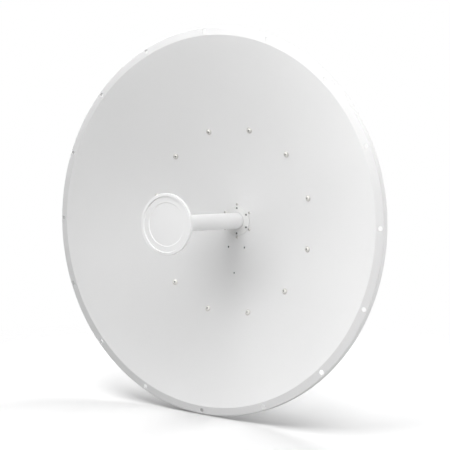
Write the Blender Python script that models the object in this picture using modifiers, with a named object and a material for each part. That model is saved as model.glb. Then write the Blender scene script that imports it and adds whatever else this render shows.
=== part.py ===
"""Microwave dish antenna: a spun reflector on a back ring, with a centre feed and a pole bracket.

The dish faces -Y. The origin lies on the flat rear face of the pole bracket, on the dish axis.
Lengths are metres. A reach is a distance in front of that rear face, towards the dish's mouth.
"""
import math

import bmesh
import bpy
from mathutils import Matrix, Vector

# Reflector
FOCAL_LENGTH = 0.360
BOWL_RADIUS = 0.500
BOWL_DEPTH = BOWL_RADIUS**2 / (4 * FOCAL_LENGTH)
RIM_REACH = 0.300
APEX_REACH = RIM_REACH - BOWL_DEPTH
SHEET = 0.002
RIM_RADIUS = 0.5235
RIM_BEND = 0.003
LIP_DEPTH = 0.016
LIP_LEAN = math.atan(0.002 / LIP_DEPTH)
CENTRE_HOLE_RADIUS = 0.030
DISH_STEPS = 72
BOWL_SEGMENTS = 10
BEND_SEGMENTS = 2

# Holes in the reflector
RIM_HOLES = 16
RIM_HOLE_CIRCLE = 0.5115
RIM_HOLE_RADIUS = 0.006
RADIO_HOLE_RADIUS = 0.0028
RADIO_HOLES = {"lower_left": (-0.027, -0.076), "lower_right": (0.027, -0.076), "bottom": (0.0, -0.149)}
SMALL_HOLE_SIDES = 8

# Back ring, back plate and what lies between them and the reflector
RING_INNER_RADIUS = 0.218
RING_WALL_RADIUS = 0.248
RING_OUTER_RADIUS = 0.278
RING_SHEET = 0.003
PLATE_REACH = 0.118
PLATE_THICKNESS = 0.004
PLATE_HALF = 0.115
ARM_HALF = 0.035
ARM_LENGTH = 0.246
SPACER_RADIUS = 0.058
BUSH_RADIUS = 0.007
BUSH_BORE = 0.0032

# Feed
FLANGE_RADIUS = 0.0425
FLANGE_THICKNESS = 0.003
FLANGE_CHAMFER = 0.0008
TUBE_FOOT_RADIUS = 0.0228
TUBE_END_RADIUS = 0.0213
TUBE_FOOT_FILLET = 0.0015
DISC_RADIUS = 0.079
DISC_FRONT_REACH = 0.4655
DISC_THICKNESS = 0.009
DISC_LIP_RADIUS = 0.0715
DISC_STEP_RADIUS = 0.056
DISC_RECESS = 0.0035
DISC_STEP = 0.0015
DISC_EDGE = 0.001
DISC_DRAFT = 0.001
COLLAR_LENGTH = 0.043
COLLAR_END_RADIUS = 0.040
COLLAR_LAND = 0.003
NECK_RADIUS = 0.0290
NECK_FLANGE_RADIUS = 0.052
NECK_FLANGE_THICKNESS = 0.003
HOUSING_HALF = 0.045
HOUSING_DEPTH = 0.042
HOUSING_BEVEL = 0.004
CONNECTOR_X = 0.020
CONNECTOR_RADIUS = 0.008
CONNECTOR_FLANGE_RADIUS = 0.0125
CONNECTOR_FLANGE_THICKNESS = 0.003
CONNECTOR_LENGTH = 0.024
FEED_STEPS = 36
DISC_STEPS = 48

# Cheeks, pole bracket and their bolts
CHEEK_X = 0.070
CHEEK_THICKNESS = 0.005
CHEEK_FLANGE = 0.035
CHEEK_HALF_HEIGHT = 0.110
CHEEK_BACK_REACH = 0.012
CHANNEL_HALF_HEIGHT = 0.100
CHANNEL_THICKNESS = 0.005
CHANNEL_DEPTH = 0.062
CLAMP_HOLE_X = 0.045
CLAMP_HOLE_Z = 0.075
CLAMP_HOLE_RADIUS = 0.0055
PIVOT_REACH = 0.038
PIVOT_Z = -0.070
TILT_SLOT_RADIUS = 0.140
TILT_SLOT_ANGLE = math.radians(10)
HINGE_BOLT_RADIUS = 0.005
HINGE_HEAD_RADIUS = 0.0095
HINGE_HEAD_THICKNESS = 0.0065
HINGE_WASHER_RADIUS = 0.0105
HINGE_WASHER_THICKNESS = 0.002
HINGE_NUT_THICKNESS = 0.008
HINGE_THREAD_SHOWN = 0.004

# Pieces that touch keep GAP, a hole is CLEARANCE wider than its shaft, and cutters run PAST a face
GAP = 0.0003
FACET_SLACK = 0.0002
CLEARANCE = 0.0007
PAST = 0.010

FACE_FRONT = Matrix.Rotation(math.radians(90), 4, "X")


# Scene and materials

def clear_scene():
    for thing in list(bpy.data.objects):
        bpy.data.objects.remove(thing, do_unlink=True)


def make_collection(name):
    group = bpy.data.collections.new(name)
    bpy.context.scene.collection.children.link(group)
    return group


def make_material(name, colour, metallic, roughness):
    material = bpy.data.materials.new(name)
    material.use_nodes = True
    shader = material.node_tree.nodes["Principled BSDF"]
    shader.inputs["Base Color"].default_value = (*colour, 1.0)
    shader.inputs["Metallic"].default_value = metallic
    shader.inputs["Roughness"].default_value = roughness
    material.diffuse_color = (*colour, 1.0)
    return material


# Measures

def bowl_reach(radius):
    """Reach of the bowl's front surface at a distance from the axis."""
    return APEX_REACH + radius**2 / (4 * FOCAL_LENGTH)


def bowl_slope(radius):
    """Angle between the bowl's surface and a plane across the axis."""
    return math.atan(radius / (2 * FOCAL_LENGTH))


def bowl_back_reach(radius):
    """Reach of the bowl's rear surface at a distance from the axis."""
    return bowl_reach(radius) - SHEET / math.cos(bowl_slope(radius))


def place(x, z, reach):
    """World point at a reach in front of the pole bracket's rear face."""
    return Vector((x, -reach, z))


def around(count):
    """Evenly spaced angles round a full circle."""
    return [math.tau * i / count for i in range(count)]


def quarter_turn(segments):
    """Pairs of sine and cosine from the front of a rounded edge to its side."""
    angles = [math.pi / 2 * i / segments for i in range(segments + 1)]
    return [(math.sin(a), math.cos(a)) for a in angles]


# Shapes

def add_object(name, data, material):
    thing = bpy.data.objects.new(name, data)
    data.materials.append(material)
    PARTS.objects.link(thing)
    return thing


def shade(mesh):
    """Shades a mesh smooth, with its real edges kept sharp."""
    mesh.shade_smooth()
    mesh.set_sharp_from_angle(angle=math.radians(30))


def object_from(name, shape, material):
    """Object that takes over a bmesh."""
    mesh = bpy.data.meshes.new(name)
    shape.to_mesh(mesh)
    shape.free()
    shade(mesh)
    return add_object(name, mesh, material)


def turned(name, profile, material, steps, closed=False):
    """A solid turned about the dish axis from (radius, reach) points, outer side front to back."""
    outline = bpy.data.meshes.new(f"{name} profile")
    edges = [(i, i + 1) for i in range(len(profile) - 1)]
    if closed:
        edges.append((len(profile) - 1, 0))
    outline.from_pydata([(radius, 0.0, reach) for radius, reach in profile], edges, [])
    thing = add_object(name, outline, material)
    screw = thing.modifiers.new("turn", "SCREW")
    screw.axis = "Z"
    screw.steps = steps
    screw.render_steps = steps
    screw.use_merge_vertices = True
    screw.merge_threshold = 0.00001
    view = bpy.context.evaluated_depsgraph_get()
    thing.data = bpy.data.meshes.new_from_object(thing.evaluated_get(view))
    thing.modifiers.remove(screw)
    shade(thing.data)
    thing.matrix_world = FACE_FRONT
    return thing


def box(name, low, high, material):
    """A box between two corners given as (x, reach, z)."""
    shape = bmesh.new()
    size = [high[i] - low[i] for i in range(3)]
    bmesh.ops.create_cube(shape, size=1.0)
    bmesh.ops.scale(shape, vec=size, verts=shape.verts)
    thing = object_from(name, shape, material)
    x, reach, z = [(high[i] + low[i]) / 2 for i in range(3)]
    thing.location = place(x, z, reach)
    return thing


def rods(name, runs, material, sides):
    """Cylinders in one mesh, each run a (start, end, radius)."""
    shape = bmesh.new()
    for start, end, radius in runs:
        along = end - start
        turn = along.to_track_quat("Z", "Y").to_matrix().to_4x4()
        where = Matrix.Translation((start + end) / 2) @ turn
        bmesh.ops.create_cone(shape, cap_ends=True, segments=sides, radius1=radius, radius2=radius,
                              depth=along.length, matrix=where)
    return object_from(name, shape, material)


def circle_points(x, z, radius, sides=24):
    return [(x + radius * math.cos(a), z + radius * math.sin(a)) for a in around(sides)]


def flat_outline(name, loops, thickness, material):
    """A flat plate from closed loops of points, the first its edge and the others holes."""
    curve = bpy.data.curves.new(name, "CURVE")
    curve.dimensions = "2D"
    curve.fill_mode = "BOTH"
    curve.extrude = thickness / 2
    for loop in loops:
        spline = curve.splines.new("POLY")
        spline.points.add(len(loop) - 1)
        spline.use_cyclic_u = True
        for point, (across, up) in zip(spline.points, loop):
            point.co = (across, up, 0.0, 1.0)
    return add_object(name, curve, material)


def as_mesh(thing):
    """Swaps a curve object for a welded mesh of the same name, so that it can cut."""
    view = bpy.context.evaluated_depsgraph_get()
    shape = bmesh.new()
    shape.from_mesh(bpy.data.meshes.new_from_object(thing.evaluated_get(view)))
    bmesh.ops.remove_doubles(shape, verts=shape.verts, dist=0.00001)
    name = thing.name
    material = thing.data.materials[0]
    matrix = thing.matrix_world.copy()
    bpy.data.objects.remove(thing, do_unlink=True)
    solid = object_from(name, shape, material)
    solid.matrix_world = matrix
    return solid


def combine(thing, tool, operation):
    """Cuts or joins a piece with another object, which becomes a hidden tool."""
    PARTS.objects.unlink(tool)
    TOOLS.objects.link(tool)
    tool.hide_render = True
    tool.display_type = "WIRE"
    step = thing.modifiers.new(tool.name, "BOOLEAN")
    step.operation = operation
    step.object = tool
    step.solver = "EXACT"


# Reflector

def reflector_profile():
    """Closed section: bowl front, flat rim, turned-back leaning lip, and the same sheet's rear side."""
    span = BOWL_RADIUS - CENTRE_HOLE_RADIUS
    radii = [CENTRE_HOLE_RADIUS + span * i / BOWL_SEGMENTS for i in range(BOWL_SEGMENTS + 1)]
    front = [(r, bowl_reach(r)) for r in radii]
    back = [(r + SHEET * math.sin(bowl_slope(r)), bowl_reach(r) - SHEET * math.cos(bowl_slope(r)))
            for r in radii[1:-1]]
    hole_edge = (CENTRE_HOLE_RADIUS, bowl_reach(CENTRE_HOLE_RADIUS) - SHEET)
    crease = (BOWL_RADIUS + SHEET * math.tan(bowl_slope(BOWL_RADIUS) / 2), RIM_REACH - SHEET)
    lip_height = LIP_DEPTH - RIM_BEND
    middle_radius = RIM_RADIUS - (RIM_BEND + lip_height * math.sin(LIP_LEAN)) / math.cos(LIP_LEAN)
    middle_reach = RIM_REACH - RIM_BEND
    angles = [(math.pi / 2 - LIP_LEAN) * i / BEND_SEGMENTS for i in range(BEND_SEGMENTS + 1)]
    turn = [(math.sin(a), math.cos(a)) for a in angles]
    outer = [(middle_radius + RIM_BEND * s, middle_reach + RIM_BEND * c) for s, c in turn]
    inner_bend = RIM_BEND - SHEET
    inner = [(middle_radius + inner_bend * s, middle_reach + inner_bend * c) for s, c in turn]
    lip_edge = RIM_REACH - LIP_DEPTH
    lip = [(RIM_RADIUS, lip_edge), (RIM_RADIUS - SHEET / math.cos(LIP_LEAN), lip_edge)]
    return front + outer + lip + inner[::-1] + [crease] + back[::-1] + [hole_edge]


def straight_holes(name, centres, radius):
    """Cutters parallel to the axis, one through each (x, z, reach)."""
    runs = [(place(x, z, reach - PAST), place(x, z, reach + PAST), radius) for x, z, reach in centres]
    return rods(name, runs, STEEL, SMALL_HOLE_SIDES)


def make_reflector():
    dish = turned("reflector", reflector_profile(), COATED_ALUMINIUM, DISH_STEPS, closed=True)
    rim = [(RIM_HOLE_CIRCLE * math.cos(a), RIM_HOLE_CIRCLE * math.sin(a), RIM_REACH)
           for a in around(RIM_HOLES)]
    radio = [(x, z, bowl_reach(math.hypot(x, z))) for x, z in RADIO_HOLES.values()]
    combine(dish, straight_holes("rim_holes", rim, RIM_HOLE_RADIUS), "DIFFERENCE")
    combine(dish, straight_holes("radio_holes", radio, RADIO_HOLE_RADIUS), "DIFFERENCE")


# Back ring and plate

def make_support_ring():
    """Pressed ring: a sloping flange under the dish, a wall, and a flat rear flange."""
    slope = bowl_slope((RING_WALL_RADIUS + RING_OUTER_RADIUS) / 2)
    drop = RING_SHEET / math.cos(slope)
    inside = RING_WALL_RADIUS - RING_SHEET
    rear = PLATE_REACH + GAP

    def seat(radius):
        return bowl_back_reach(radius) - GAP - FACET_SLACK

    profile = [
        (inside, seat(inside)),
        (RING_OUTER_RADIUS, seat(RING_OUTER_RADIUS)),
        (RING_OUTER_RADIUS, seat(RING_OUTER_RADIUS) - drop),
        (RING_WALL_RADIUS, seat(RING_WALL_RADIUS) - drop),
        (RING_WALL_RADIUS, rear),
        (RING_INNER_RADIUS, rear),
        (RING_INNER_RADIUS, rear + RING_SHEET),
        (inside, rear + RING_SHEET),
    ]
    turned("support_ring", profile, GALVANISED_STEEL, DISH_STEPS, closed=True)


def make_back_plate():
    """Square plate with four arms that reach the ring's rear flange, and a hole for the feed's neck."""
    corner = [(ARM_HALF, ARM_LENGTH), (ARM_HALF, PLATE_HALF), (PLATE_HALF, PLATE_HALF),
              (PLATE_HALF, ARM_HALF), (ARM_LENGTH, ARM_HALF)]
    outline = []
    for quarter in range(4):
        turn = Matrix.Rotation(-math.pi / 2 * quarter, 2)
        outline += [tuple(turn @ Vector(point)) for point in corner]
    neck_hole = circle_points(0, 0, NECK_RADIUS + CLEARANCE)
    plate = flat_outline("back_plate", [outline, neck_hole], PLATE_THICKNESS, GALVANISED_STEEL)
    middle = place(0, 0, PLATE_REACH - PLATE_THICKNESS / 2)
    plate.matrix_world = Matrix.Translation(middle) @ FACE_FRONT


def washer_profile(bore, radius, front, rear):
    return [(bore, front), (radius, front), (radius, rear), (bore, rear)]


def make_hub_spacer():
    """Thick washer that fills the space between the dish's middle and the back plate."""
    front = bowl_back_reach(CENTRE_HOLE_RADIUS) - GAP
    profile = washer_profile(NECK_RADIUS + CLEARANCE, SPACER_RADIUS, front, PLATE_REACH + GAP)
    turned("hub_spacer", profile, GALVANISED_STEEL, FEED_STEPS, closed=True)


def make_bushes():
    """Bushes between the dish and the back plate, behind the three radio holes."""
    for name, (x, z) in RADIO_HOLES.items():
        front = bowl_back_reach(math.hypot(x, z) - BUSH_RADIUS) - GAP
        profile = washer_profile(BUSH_BORE, BUSH_RADIUS, front, PLATE_REACH + GAP)
        bush = turned(f"bush_{name}", profile, GALVANISED_STEEL, 16, closed=True)
        bush.matrix_world = Matrix.Translation(place(x, z, 0)) @ FACE_FRONT


# Feed

def flange_rear():
    """Reach of the feed flange's rear face, which rests on the bowl at its edge."""
    return bowl_reach(FLANGE_RADIUS) + GAP


def make_feed_flange():
    front = flange_rear() + FLANGE_THICKNESS
    profile = [
        (0.0, front),
        (FLANGE_RADIUS - FLANGE_CHAMFER, front),
        (FLANGE_RADIUS, front - FLANGE_CHAMFER),
        (FLANGE_RADIUS, flange_rear()),
        (0.0, flange_rear()),
    ]
    turned("feed_flange", profile, WHITE_PLASTIC, FEED_STEPS)


def make_feed_tube():
    """Slightly tapered tube from the flange to the collar, with a small fillet at its foot."""
    foot = flange_rear() + FLANGE_THICKNESS + GAP
    end = DISC_FRONT_REACH - DISC_THICKNESS - COLLAR_LENGTH - GAP
    profile = [
        (0.0, end),
        (TUBE_END_RADIUS, end),
        (TUBE_FOOT_RADIUS, foot + TUBE_FOOT_FILLET),
        (TUBE_FOOT_RADIUS + TUBE_FOOT_FILLET, foot),
        (0.0, foot),
    ]
    turned("feed_tube", profile, WHITE_PLASTIC, FEED_STEPS)


def make_feed_collar():
    """Cone that spreads the tube's end to carry the disc."""
    front = DISC_FRONT_REACH - DISC_THICKNESS - GAP
    rear = DISC_FRONT_REACH - DISC_THICKNESS - COLLAR_LENGTH
    profile = [
        (0.0, front),
        (COLLAR_END_RADIUS, front),
        (COLLAR_END_RADIUS, front - COLLAR_LAND),
        (TUBE_END_RADIUS, rear),
        (0.0, rear),
    ]
    turned("feed_collar", profile, WHITE_PLASTIC, FEED_STEPS)


def make_feed_disc():
    """Round sub-reflector cap: a raised lip, a recess, and a shallow step down to the middle."""
    front = DISC_FRONT_REACH
    rear = front - DISC_THICKNESS
    recess = front - DISC_RECESS
    floor = recess - DISC_STEP
    edge = [(DISC_RADIUS - DISC_EDGE * (1 - s), front - DISC_EDGE * (1 - c)) for s, c in quarter_turn(3)]
    profile = [
        (0.0, floor),
        (DISC_STEP_RADIUS - DISC_DRAFT, floor),
        (DISC_STEP_RADIUS, recess),
        (DISC_LIP_RADIUS - DISC_DRAFT, recess),
        (DISC_LIP_RADIUS, front),
        *edge,
        (DISC_RADIUS, rear + DISC_EDGE),
        (DISC_RADIUS - DISC_EDGE, rear),
        (0.0, rear),
    ]
    turned("feed_disc", profile, WHITE_PLASTIC, DISC_STEPS)


def make_feed_neck():
    """Neck through the dish's centre hole, with a flange on the back plate's rear face."""
    front = flange_rear() - GAP
    seat = PLATE_REACH - PLATE_THICKNESS - GAP
    profile = [
        (0.0, front),
        (NECK_RADIUS, front),
        (NECK_RADIUS, seat),
        (NECK_FLANGE_RADIUS, seat),
        (NECK_FLANGE_RADIUS, seat - NECK_FLANGE_THICKNESS),
        (0.0, seat - NECK_FLANGE_THICKNESS),
    ]
    turned("feed_neck", profile, CAST_ALUMINIUM, FEED_STEPS)


def make_feed_housing():
    """Box behind the neck, with two coaxial ports in its underside."""
    half = HOUSING_HALF
    front = PLATE_REACH - PLATE_THICKNESS - NECK_FLANGE_THICKNESS - 2 * GAP
    rear = front - HOUSING_DEPTH
    housing = box("feed_housing", (-half, rear, -half), (half, front, half), CAST_ALUMINIUM)
    bevel = housing.modifiers.new("rounded edges", "BEVEL")
    bevel.width = HOUSING_BEVEL
    bevel.segments = 2
    profile = [
        (0.0, 0.0),
        (CONNECTOR_FLANGE_RADIUS, 0.0),
        (CONNECTOR_FLANGE_RADIUS, -CONNECTOR_FLANGE_THICKNESS),
        (CONNECTOR_RADIUS, -CONNECTOR_FLANGE_THICKNESS),
        (CONNECTOR_RADIUS, -CONNECTOR_LENGTH),
        (0.0, -CONNECTOR_LENGTH),
    ]
    for name, x in (("left", -CONNECTOR_X), ("right", CONNECTOR_X)):
        connector = turned(f"rf_connector_{name}", profile, NICKEL_PLATING, 20)
        connector.matrix_world = Matrix.Translation(place(x, -half - GAP, (front + rear) / 2))


# Cheeks and pole bracket

def tilt_slot_point(angle, radius=TILT_SLOT_RADIUS):
    """Point (reach, z) swung about the pivot bolt, angle 0 straight above it."""
    return PIVOT_REACH + radius * math.sin(angle), PIVOT_Z + radius * math.cos(angle)


def tilt_slot_tool(name, side):
    """Cutter for a cheek's curved slot, with round ends."""
    half_width = HINGE_BOLT_RADIUS + CLEARANCE
    sweep = [TILT_SLOT_ANGLE * (i / 4 - 1) for i in range(9)]
    bow = [math.pi * i / 6 for i in range(1, 6)]
    loop = [tilt_slot_point(a, TILT_SLOT_RADIUS + half_width) for a in sweep]
    for end, turn in ((TILT_SLOT_ANGLE, 1), (-TILT_SLOT_ANGLE, -1)):
        centre = tilt_slot_point(end)
        for b in bow:
            along = half_width * math.sin(b) * turn
            out = half_width * math.cos(b) * turn
            loop.append((centre[0] + out * math.sin(end) + along * math.cos(end),
                         centre[1] + out * math.cos(end) - along * math.sin(end)))
        if turn == 1:
            loop += [tilt_slot_point(a, TILT_SLOT_RADIUS - half_width) for a in sweep[::-1]]
    slot = flat_outline(name, [loop], CHEEK_THICKNESS + 2 * PAST, STEEL)
    across = Matrix(((0, 0, 1, 0), (-1, 0, 0, 0), (0, 1, 0, 0), (0, 0, 0, 1)))
    slot.matrix_world = Matrix.Translation((side * (CHEEK_X + CHEEK_THICKNESS / 2), 0, 0)) @ across
    bpy.context.view_layer.update()
    return as_mesh(slot)


def sided(side, near, far):
    """The two X limits of a piece that lies from near to far on one side, low first."""
    return sorted((side * near, side * far))


def make_cheek(name, side):
    """Angle plate: a flange on the back plate, and a side plate with a pivot hole and a tilt slot."""
    front = PLATE_REACH - PLATE_THICKNESS - GAP
    top = CHEEK_HALF_HEIGHT
    low, high = sided(side, CHEEK_X, CHEEK_X + CHEEK_FLANGE)
    cheek = box(name, (low, CHEEK_BACK_REACH, -top), (high, front, top), GALVANISED_STEEL)
    low, high = sided(side, CHEEK_X + CHEEK_THICKNESS, CHEEK_X + CHEEK_FLANGE + PAST)
    waste = box(f"{name}_waste", (low, CHEEK_BACK_REACH - PAST, -top - PAST),
                (high, front - CHEEK_THICKNESS, top + PAST), STEEL)
    combine(cheek, waste, "DIFFERENCE")
    low, high = sided(side, CHEEK_X - PAST, CHEEK_X + CHEEK_THICKNESS + PAST)
    pivot = (place(low, PIVOT_Z, PIVOT_REACH), place(high, PIVOT_Z, PIVOT_REACH),
             HINGE_BOLT_RADIUS + CLEARANCE)
    combine(cheek, rods(f"{name}_pivot_hole", [pivot], STEEL, 16), "DIFFERENCE")
    combine(cheek, tilt_slot_tool(f"{name}_tilt_slot", side), "DIFFERENCE")


def make_pole_bracket():
    """Channel whose flat rear face takes the pole clamps."""
    half = CHEEK_X - GAP
    top = CHANNEL_HALF_HEIGHT
    wall = CHANNEL_THICKNESS
    channel = box("pole_bracket", (-half, 0.0, -top), (half, CHANNEL_DEPTH, top), GALVANISED_STEEL)
    hollow = box("pole_bracket_hollow", (wall - half, wall, -top - PAST),
                 (half - wall, CHANNEL_DEPTH + PAST, top + PAST), STEEL)
    combine(channel, hollow, "DIFFERENCE")
    clamp_runs = [(place(x, z, -PAST), place(x, z, wall + PAST), CLAMP_HOLE_RADIUS)
                  for x in (-CLAMP_HOLE_X, CLAMP_HOLE_X) for z in (-CLAMP_HOLE_Z, CLAMP_HOLE_Z)]
    combine(channel, rods("clamp_holes", clamp_runs, STEEL, 16), "DIFFERENCE")
    hinge_runs = [(place(-half - PAST, z, reach), place(half + PAST, z, reach), HINGE_BOLT_RADIUS + CLEARANCE)
                  for reach, z in ((PIVOT_REACH, PIVOT_Z), tilt_slot_point(0.0))]
    combine(channel, rods("hinge_holes", hinge_runs, STEEL, 16), "DIFFERENCE")


def make_hinge_bolt(name, side, reach, z):
    """Bolt across a cheek and the channel: washer and hexagon head outside, nut and thread inside."""
    seat = CHEEK_X + CHEEK_THICKNESS + GAP
    head_seat = seat + HINGE_WASHER_THICKNESS
    head_top = head_seat + HINGE_HEAD_THICKNESS
    nut_seat = CHEEK_X - CHANNEL_THICKNESS - 2 * GAP
    nut_end = nut_seat - HINGE_NUT_THICKNESS

    def piece(label, near, far, radius, sides):
        run = (place(side * near, z, reach), place(side * far, z, reach), radius)
        return rods(name + label, [run], STEEL, sides)

    bolt = piece("", nut_end - HINGE_THREAD_SHOWN, head_top - GAP, HINGE_BOLT_RADIUS, 16)
    combine(bolt, piece("_washer", seat, head_seat + GAP, HINGE_WASHER_RADIUS, 20), "UNION")
    combine(bolt, piece("_head", head_seat, head_top, HINGE_HEAD_RADIUS, 6), "UNION")
    combine(bolt, piece("_nut", nut_end, nut_seat, HINGE_HEAD_RADIUS, 6), "UNION")


def make_mount():
    make_pole_bracket()
    for name, side in (("left", -1), ("right", 1)):
        make_cheek(f"cheek_{name}", side)
        make_hinge_bolt(f"pivot_bolt_{name}", side, PIVOT_REACH, PIVOT_Z)
        make_hinge_bolt(f"lock_bolt_{name}", side, *tilt_slot_point(0.0))


clear_scene()
PARTS = make_collection("microwave_dish_antenna")
TOOLS = make_collection("cutters")
COATED_ALUMINIUM = make_material("white powder-coated aluminium", (0.86, 0.86, 0.86), 0.0, 0.45)
WHITE_PLASTIC = make_material("white moulded plastic", (0.88, 0.88, 0.88), 0.0, 0.40)
GALVANISED_STEEL = make_material("galvanised steel", (0.62, 0.63, 0.64), 0.9, 0.45)
STEEL = make_material("stainless steel", (0.66, 0.66, 0.67), 1.0, 0.30)
CAST_ALUMINIUM = make_material("cast aluminium", (0.70, 0.70, 0.71), 0.8, 0.50)
NICKEL_PLATING = make_material("nickel-plated brass", (0.72, 0.70, 0.66), 1.0, 0.25)

make_reflector()
make_support_ring()
make_back_plate()
make_hub_spacer()
make_bushes()
make_feed_flange()
make_feed_tube()
make_feed_collar()
make_feed_disc()
make_feed_neck()
make_feed_housing()
make_mount()
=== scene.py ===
# %% [markdown]
# # A microwave dish antenna in a white studio
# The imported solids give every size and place. This script gives the looks: smooth skins where
# light would show each facet, the small screws, the finishes, the floor and the lights.
# Lengths are metres. The dish looks along -Y and Z is up. A reach is a distance in front of the
# pole bracket's rear face, so a point at a reach has y = -reach.

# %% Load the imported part
import math

import bmesh
import bpy
from mathutils import Matrix, Vector


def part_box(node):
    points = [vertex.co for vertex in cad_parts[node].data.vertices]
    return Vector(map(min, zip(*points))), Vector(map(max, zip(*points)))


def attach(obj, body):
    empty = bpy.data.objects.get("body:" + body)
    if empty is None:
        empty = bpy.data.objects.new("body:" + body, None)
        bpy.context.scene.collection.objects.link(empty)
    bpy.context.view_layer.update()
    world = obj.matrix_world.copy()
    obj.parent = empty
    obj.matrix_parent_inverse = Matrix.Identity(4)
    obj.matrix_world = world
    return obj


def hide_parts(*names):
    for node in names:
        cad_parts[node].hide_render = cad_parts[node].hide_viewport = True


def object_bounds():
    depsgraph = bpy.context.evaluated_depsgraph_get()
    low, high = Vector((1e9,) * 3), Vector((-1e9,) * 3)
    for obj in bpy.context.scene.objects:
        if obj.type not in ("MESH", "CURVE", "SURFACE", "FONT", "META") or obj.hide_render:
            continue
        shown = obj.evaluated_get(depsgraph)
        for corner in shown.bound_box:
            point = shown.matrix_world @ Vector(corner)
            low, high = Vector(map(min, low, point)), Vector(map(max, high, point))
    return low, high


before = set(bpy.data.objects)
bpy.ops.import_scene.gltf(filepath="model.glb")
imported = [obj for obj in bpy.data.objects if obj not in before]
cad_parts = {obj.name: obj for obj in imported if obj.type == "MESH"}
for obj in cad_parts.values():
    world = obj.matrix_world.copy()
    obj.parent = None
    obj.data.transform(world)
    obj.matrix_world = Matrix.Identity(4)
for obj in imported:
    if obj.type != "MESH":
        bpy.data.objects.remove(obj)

cad_low, cad_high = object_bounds()
print("packed part, mm:", [round(1000 * (high - low), 1) for low, high in zip(cad_low, cad_high)])

# %% [markdown]
# ## The camera
# The camera stood to the right of the dish, as seen from the front, and a little above its
# middle, with a long lens. It could be set by eye. Here its place, turn and lens were worked out
# from the rim, its holes and the bolts, so that all of them fall where the photograph shows them.
# A turn is built in the order yaw, pitch, roll, as a tripod head does it.

# %% Place the camera
CAMERA_PLACE = (1.3007, -2.1657, 0.0940)
CAMERA_YAW = math.radians(33.363)
CAMERA_PITCH = math.radians(-2.524)
CAMERA_ROLL = math.radians(0.4185)
CAMERA_LENS = 67.49

lens = bpy.data.cameras.new("camera")
lens.lens = CAMERA_LENS
camera = bpy.data.objects.new("camera", lens)
camera.matrix_world = (
    Matrix.Translation(CAMERA_PLACE)
    @ Matrix.Rotation(CAMERA_YAW, 4, "Z")
    @ Matrix.Rotation(math.pi / 2 + CAMERA_PITCH, 4, "X")
    @ Matrix.Rotation(CAMERA_ROLL, 4, "Z")
)
bpy.context.scene.collection.objects.link(camera)
bpy.context.scene.camera = camera
print("camera looks along", [round(v, 3) for v in -camera.matrix_world.col[2].xyz])

# %% [markdown]
# ## Colours and nodes
# Every finish starts as a Principled shader. Colours are written as sRGB hex, as a colour picker
# shows them, and turned to the linear values that the sockets hold. Patterns could come from
# images, but those have edges and a fixed sharpness, and patterns made by nodes have neither.
# They run on Object coordinates. Each mesh is in the part's frame, so these are real metres and a
# pattern's scale is one over its real size. A Mix node has sockets called A and B for each kind
# of data, so its colour sockets are named by their place in its lists.

# %% Helpers for finishes
COLOUR_A, COLOUR_B, MIXED_COLOUR = 6, 7, 2


def linear(hex_colour):
    """Linear RGBA of an sRGB hex colour."""
    channels = [int(hex_colour[i:i + 2], 16) / 255 for i in (1, 3, 5)]
    curved = [c / 12.92 if c <= 0.04045 else ((c + 0.055) / 1.055) ** 2.4 for c in channels]
    return (*curved, 1.0)


def new_finish(name, colour, **settings):
    """A material, its node tree, its Principled shader, and the coordinates for its patterns."""
    finish = bpy.data.materials.new(name)
    finish.use_nodes = True
    finish.diffuse_color = linear(colour)
    shader = finish.node_tree.nodes["Principled BSDF"]
    shader.inputs["Base Color"].default_value = linear(colour)
    for socket, value in settings.items():
        shader.inputs[socket].default_value = value
    metres = finish.node_tree.nodes.new("ShaderNodeTexCoord").outputs["Object"]
    return finish, finish.node_tree, shader, metres


def add_node(tree, kind, settings=None, links=None, feeds=None):
    """Adds a node. Settings go to its inputs and properties, links join an output to its inputs,
    feeds join its outputs to another node's sockets."""
    node = tree.nodes.new(kind)
    for name, value in (settings or {}).items():
        if isinstance(name, int) or name in node.inputs:
            node.inputs[name].default_value = value
        else:
            setattr(node, name, value)
    for name, output in (links or {}).items():
        tree.links.new(output, node.inputs[name])
    for name, socket in (feeds or {}).items():
        tree.links.new(node.outputs[name], socket)
    return node


def per_millimetres(size):
    """Pattern scale for features of a size in millimetres."""
    return 1000 / size


print("white in linear light:", [round(c, 3) for c in linear("#F2F2F2")])

# %% [markdown]
# ## Powder-coated aluminium
# The reflector is spun from 2 mm aluminium sheet and coated with white polyester powder, which
# melts into a satin film. The eye gets a soft white with a broad, weak gloss and a faint orange
# peel. The peel's real cells are 1 to 2 mm, too fine to show here, so they are drawn at 6 mm.
# A second, wide pattern lets the white drift by a hair, as dust and film thickness do. Both are
# noise, since neither the peel nor the drift repeats.

# %% White coating of the dish
COATING_WHITE = "#F0F0F0"
COATING_DUSTED = "#ECECEC"
PEEL_SIZE = 6
PEEL_HEIGHT = 0.00003
DRIFT_SIZE = 220

coating, tree, shader, metres = new_finish("powder-coated aluminium", COATING_WHITE,
                                           Roughness=0.45, IOR=1.50)
drift = add_node(tree, "ShaderNodeTexNoise",
                 {"Scale": per_millimetres(DRIFT_SIZE), "Detail": 3.0}, {"Vector": metres})
add_node(tree, "ShaderNodeMix",
         {"data_type": "RGBA", COLOUR_A: linear(COATING_WHITE), COLOUR_B: linear(COATING_DUSTED)},
         {"Factor": drift.outputs["Fac"]}, {MIXED_COLOUR: shader.inputs["Base Color"]})
add_node(tree, "ShaderNodeMapRange", {"To Min": 0.42, "To Max": 0.48},
         {"Value": drift.outputs["Fac"]}, {"Result": shader.inputs["Roughness"]})
peel = add_node(tree, "ShaderNodeTexNoise",
                {"Scale": per_millimetres(PEEL_SIZE), "Detail": 1.0}, {"Vector": metres})
add_node(tree, "ShaderNodeBump", {"Distance": PEEL_HEIGHT}, {"Height": peel.outputs["Fac"]},
         {"Normal": shader.inputs["Normal"]})
print(coating.name, "with", len(tree.nodes), "nodes")

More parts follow.
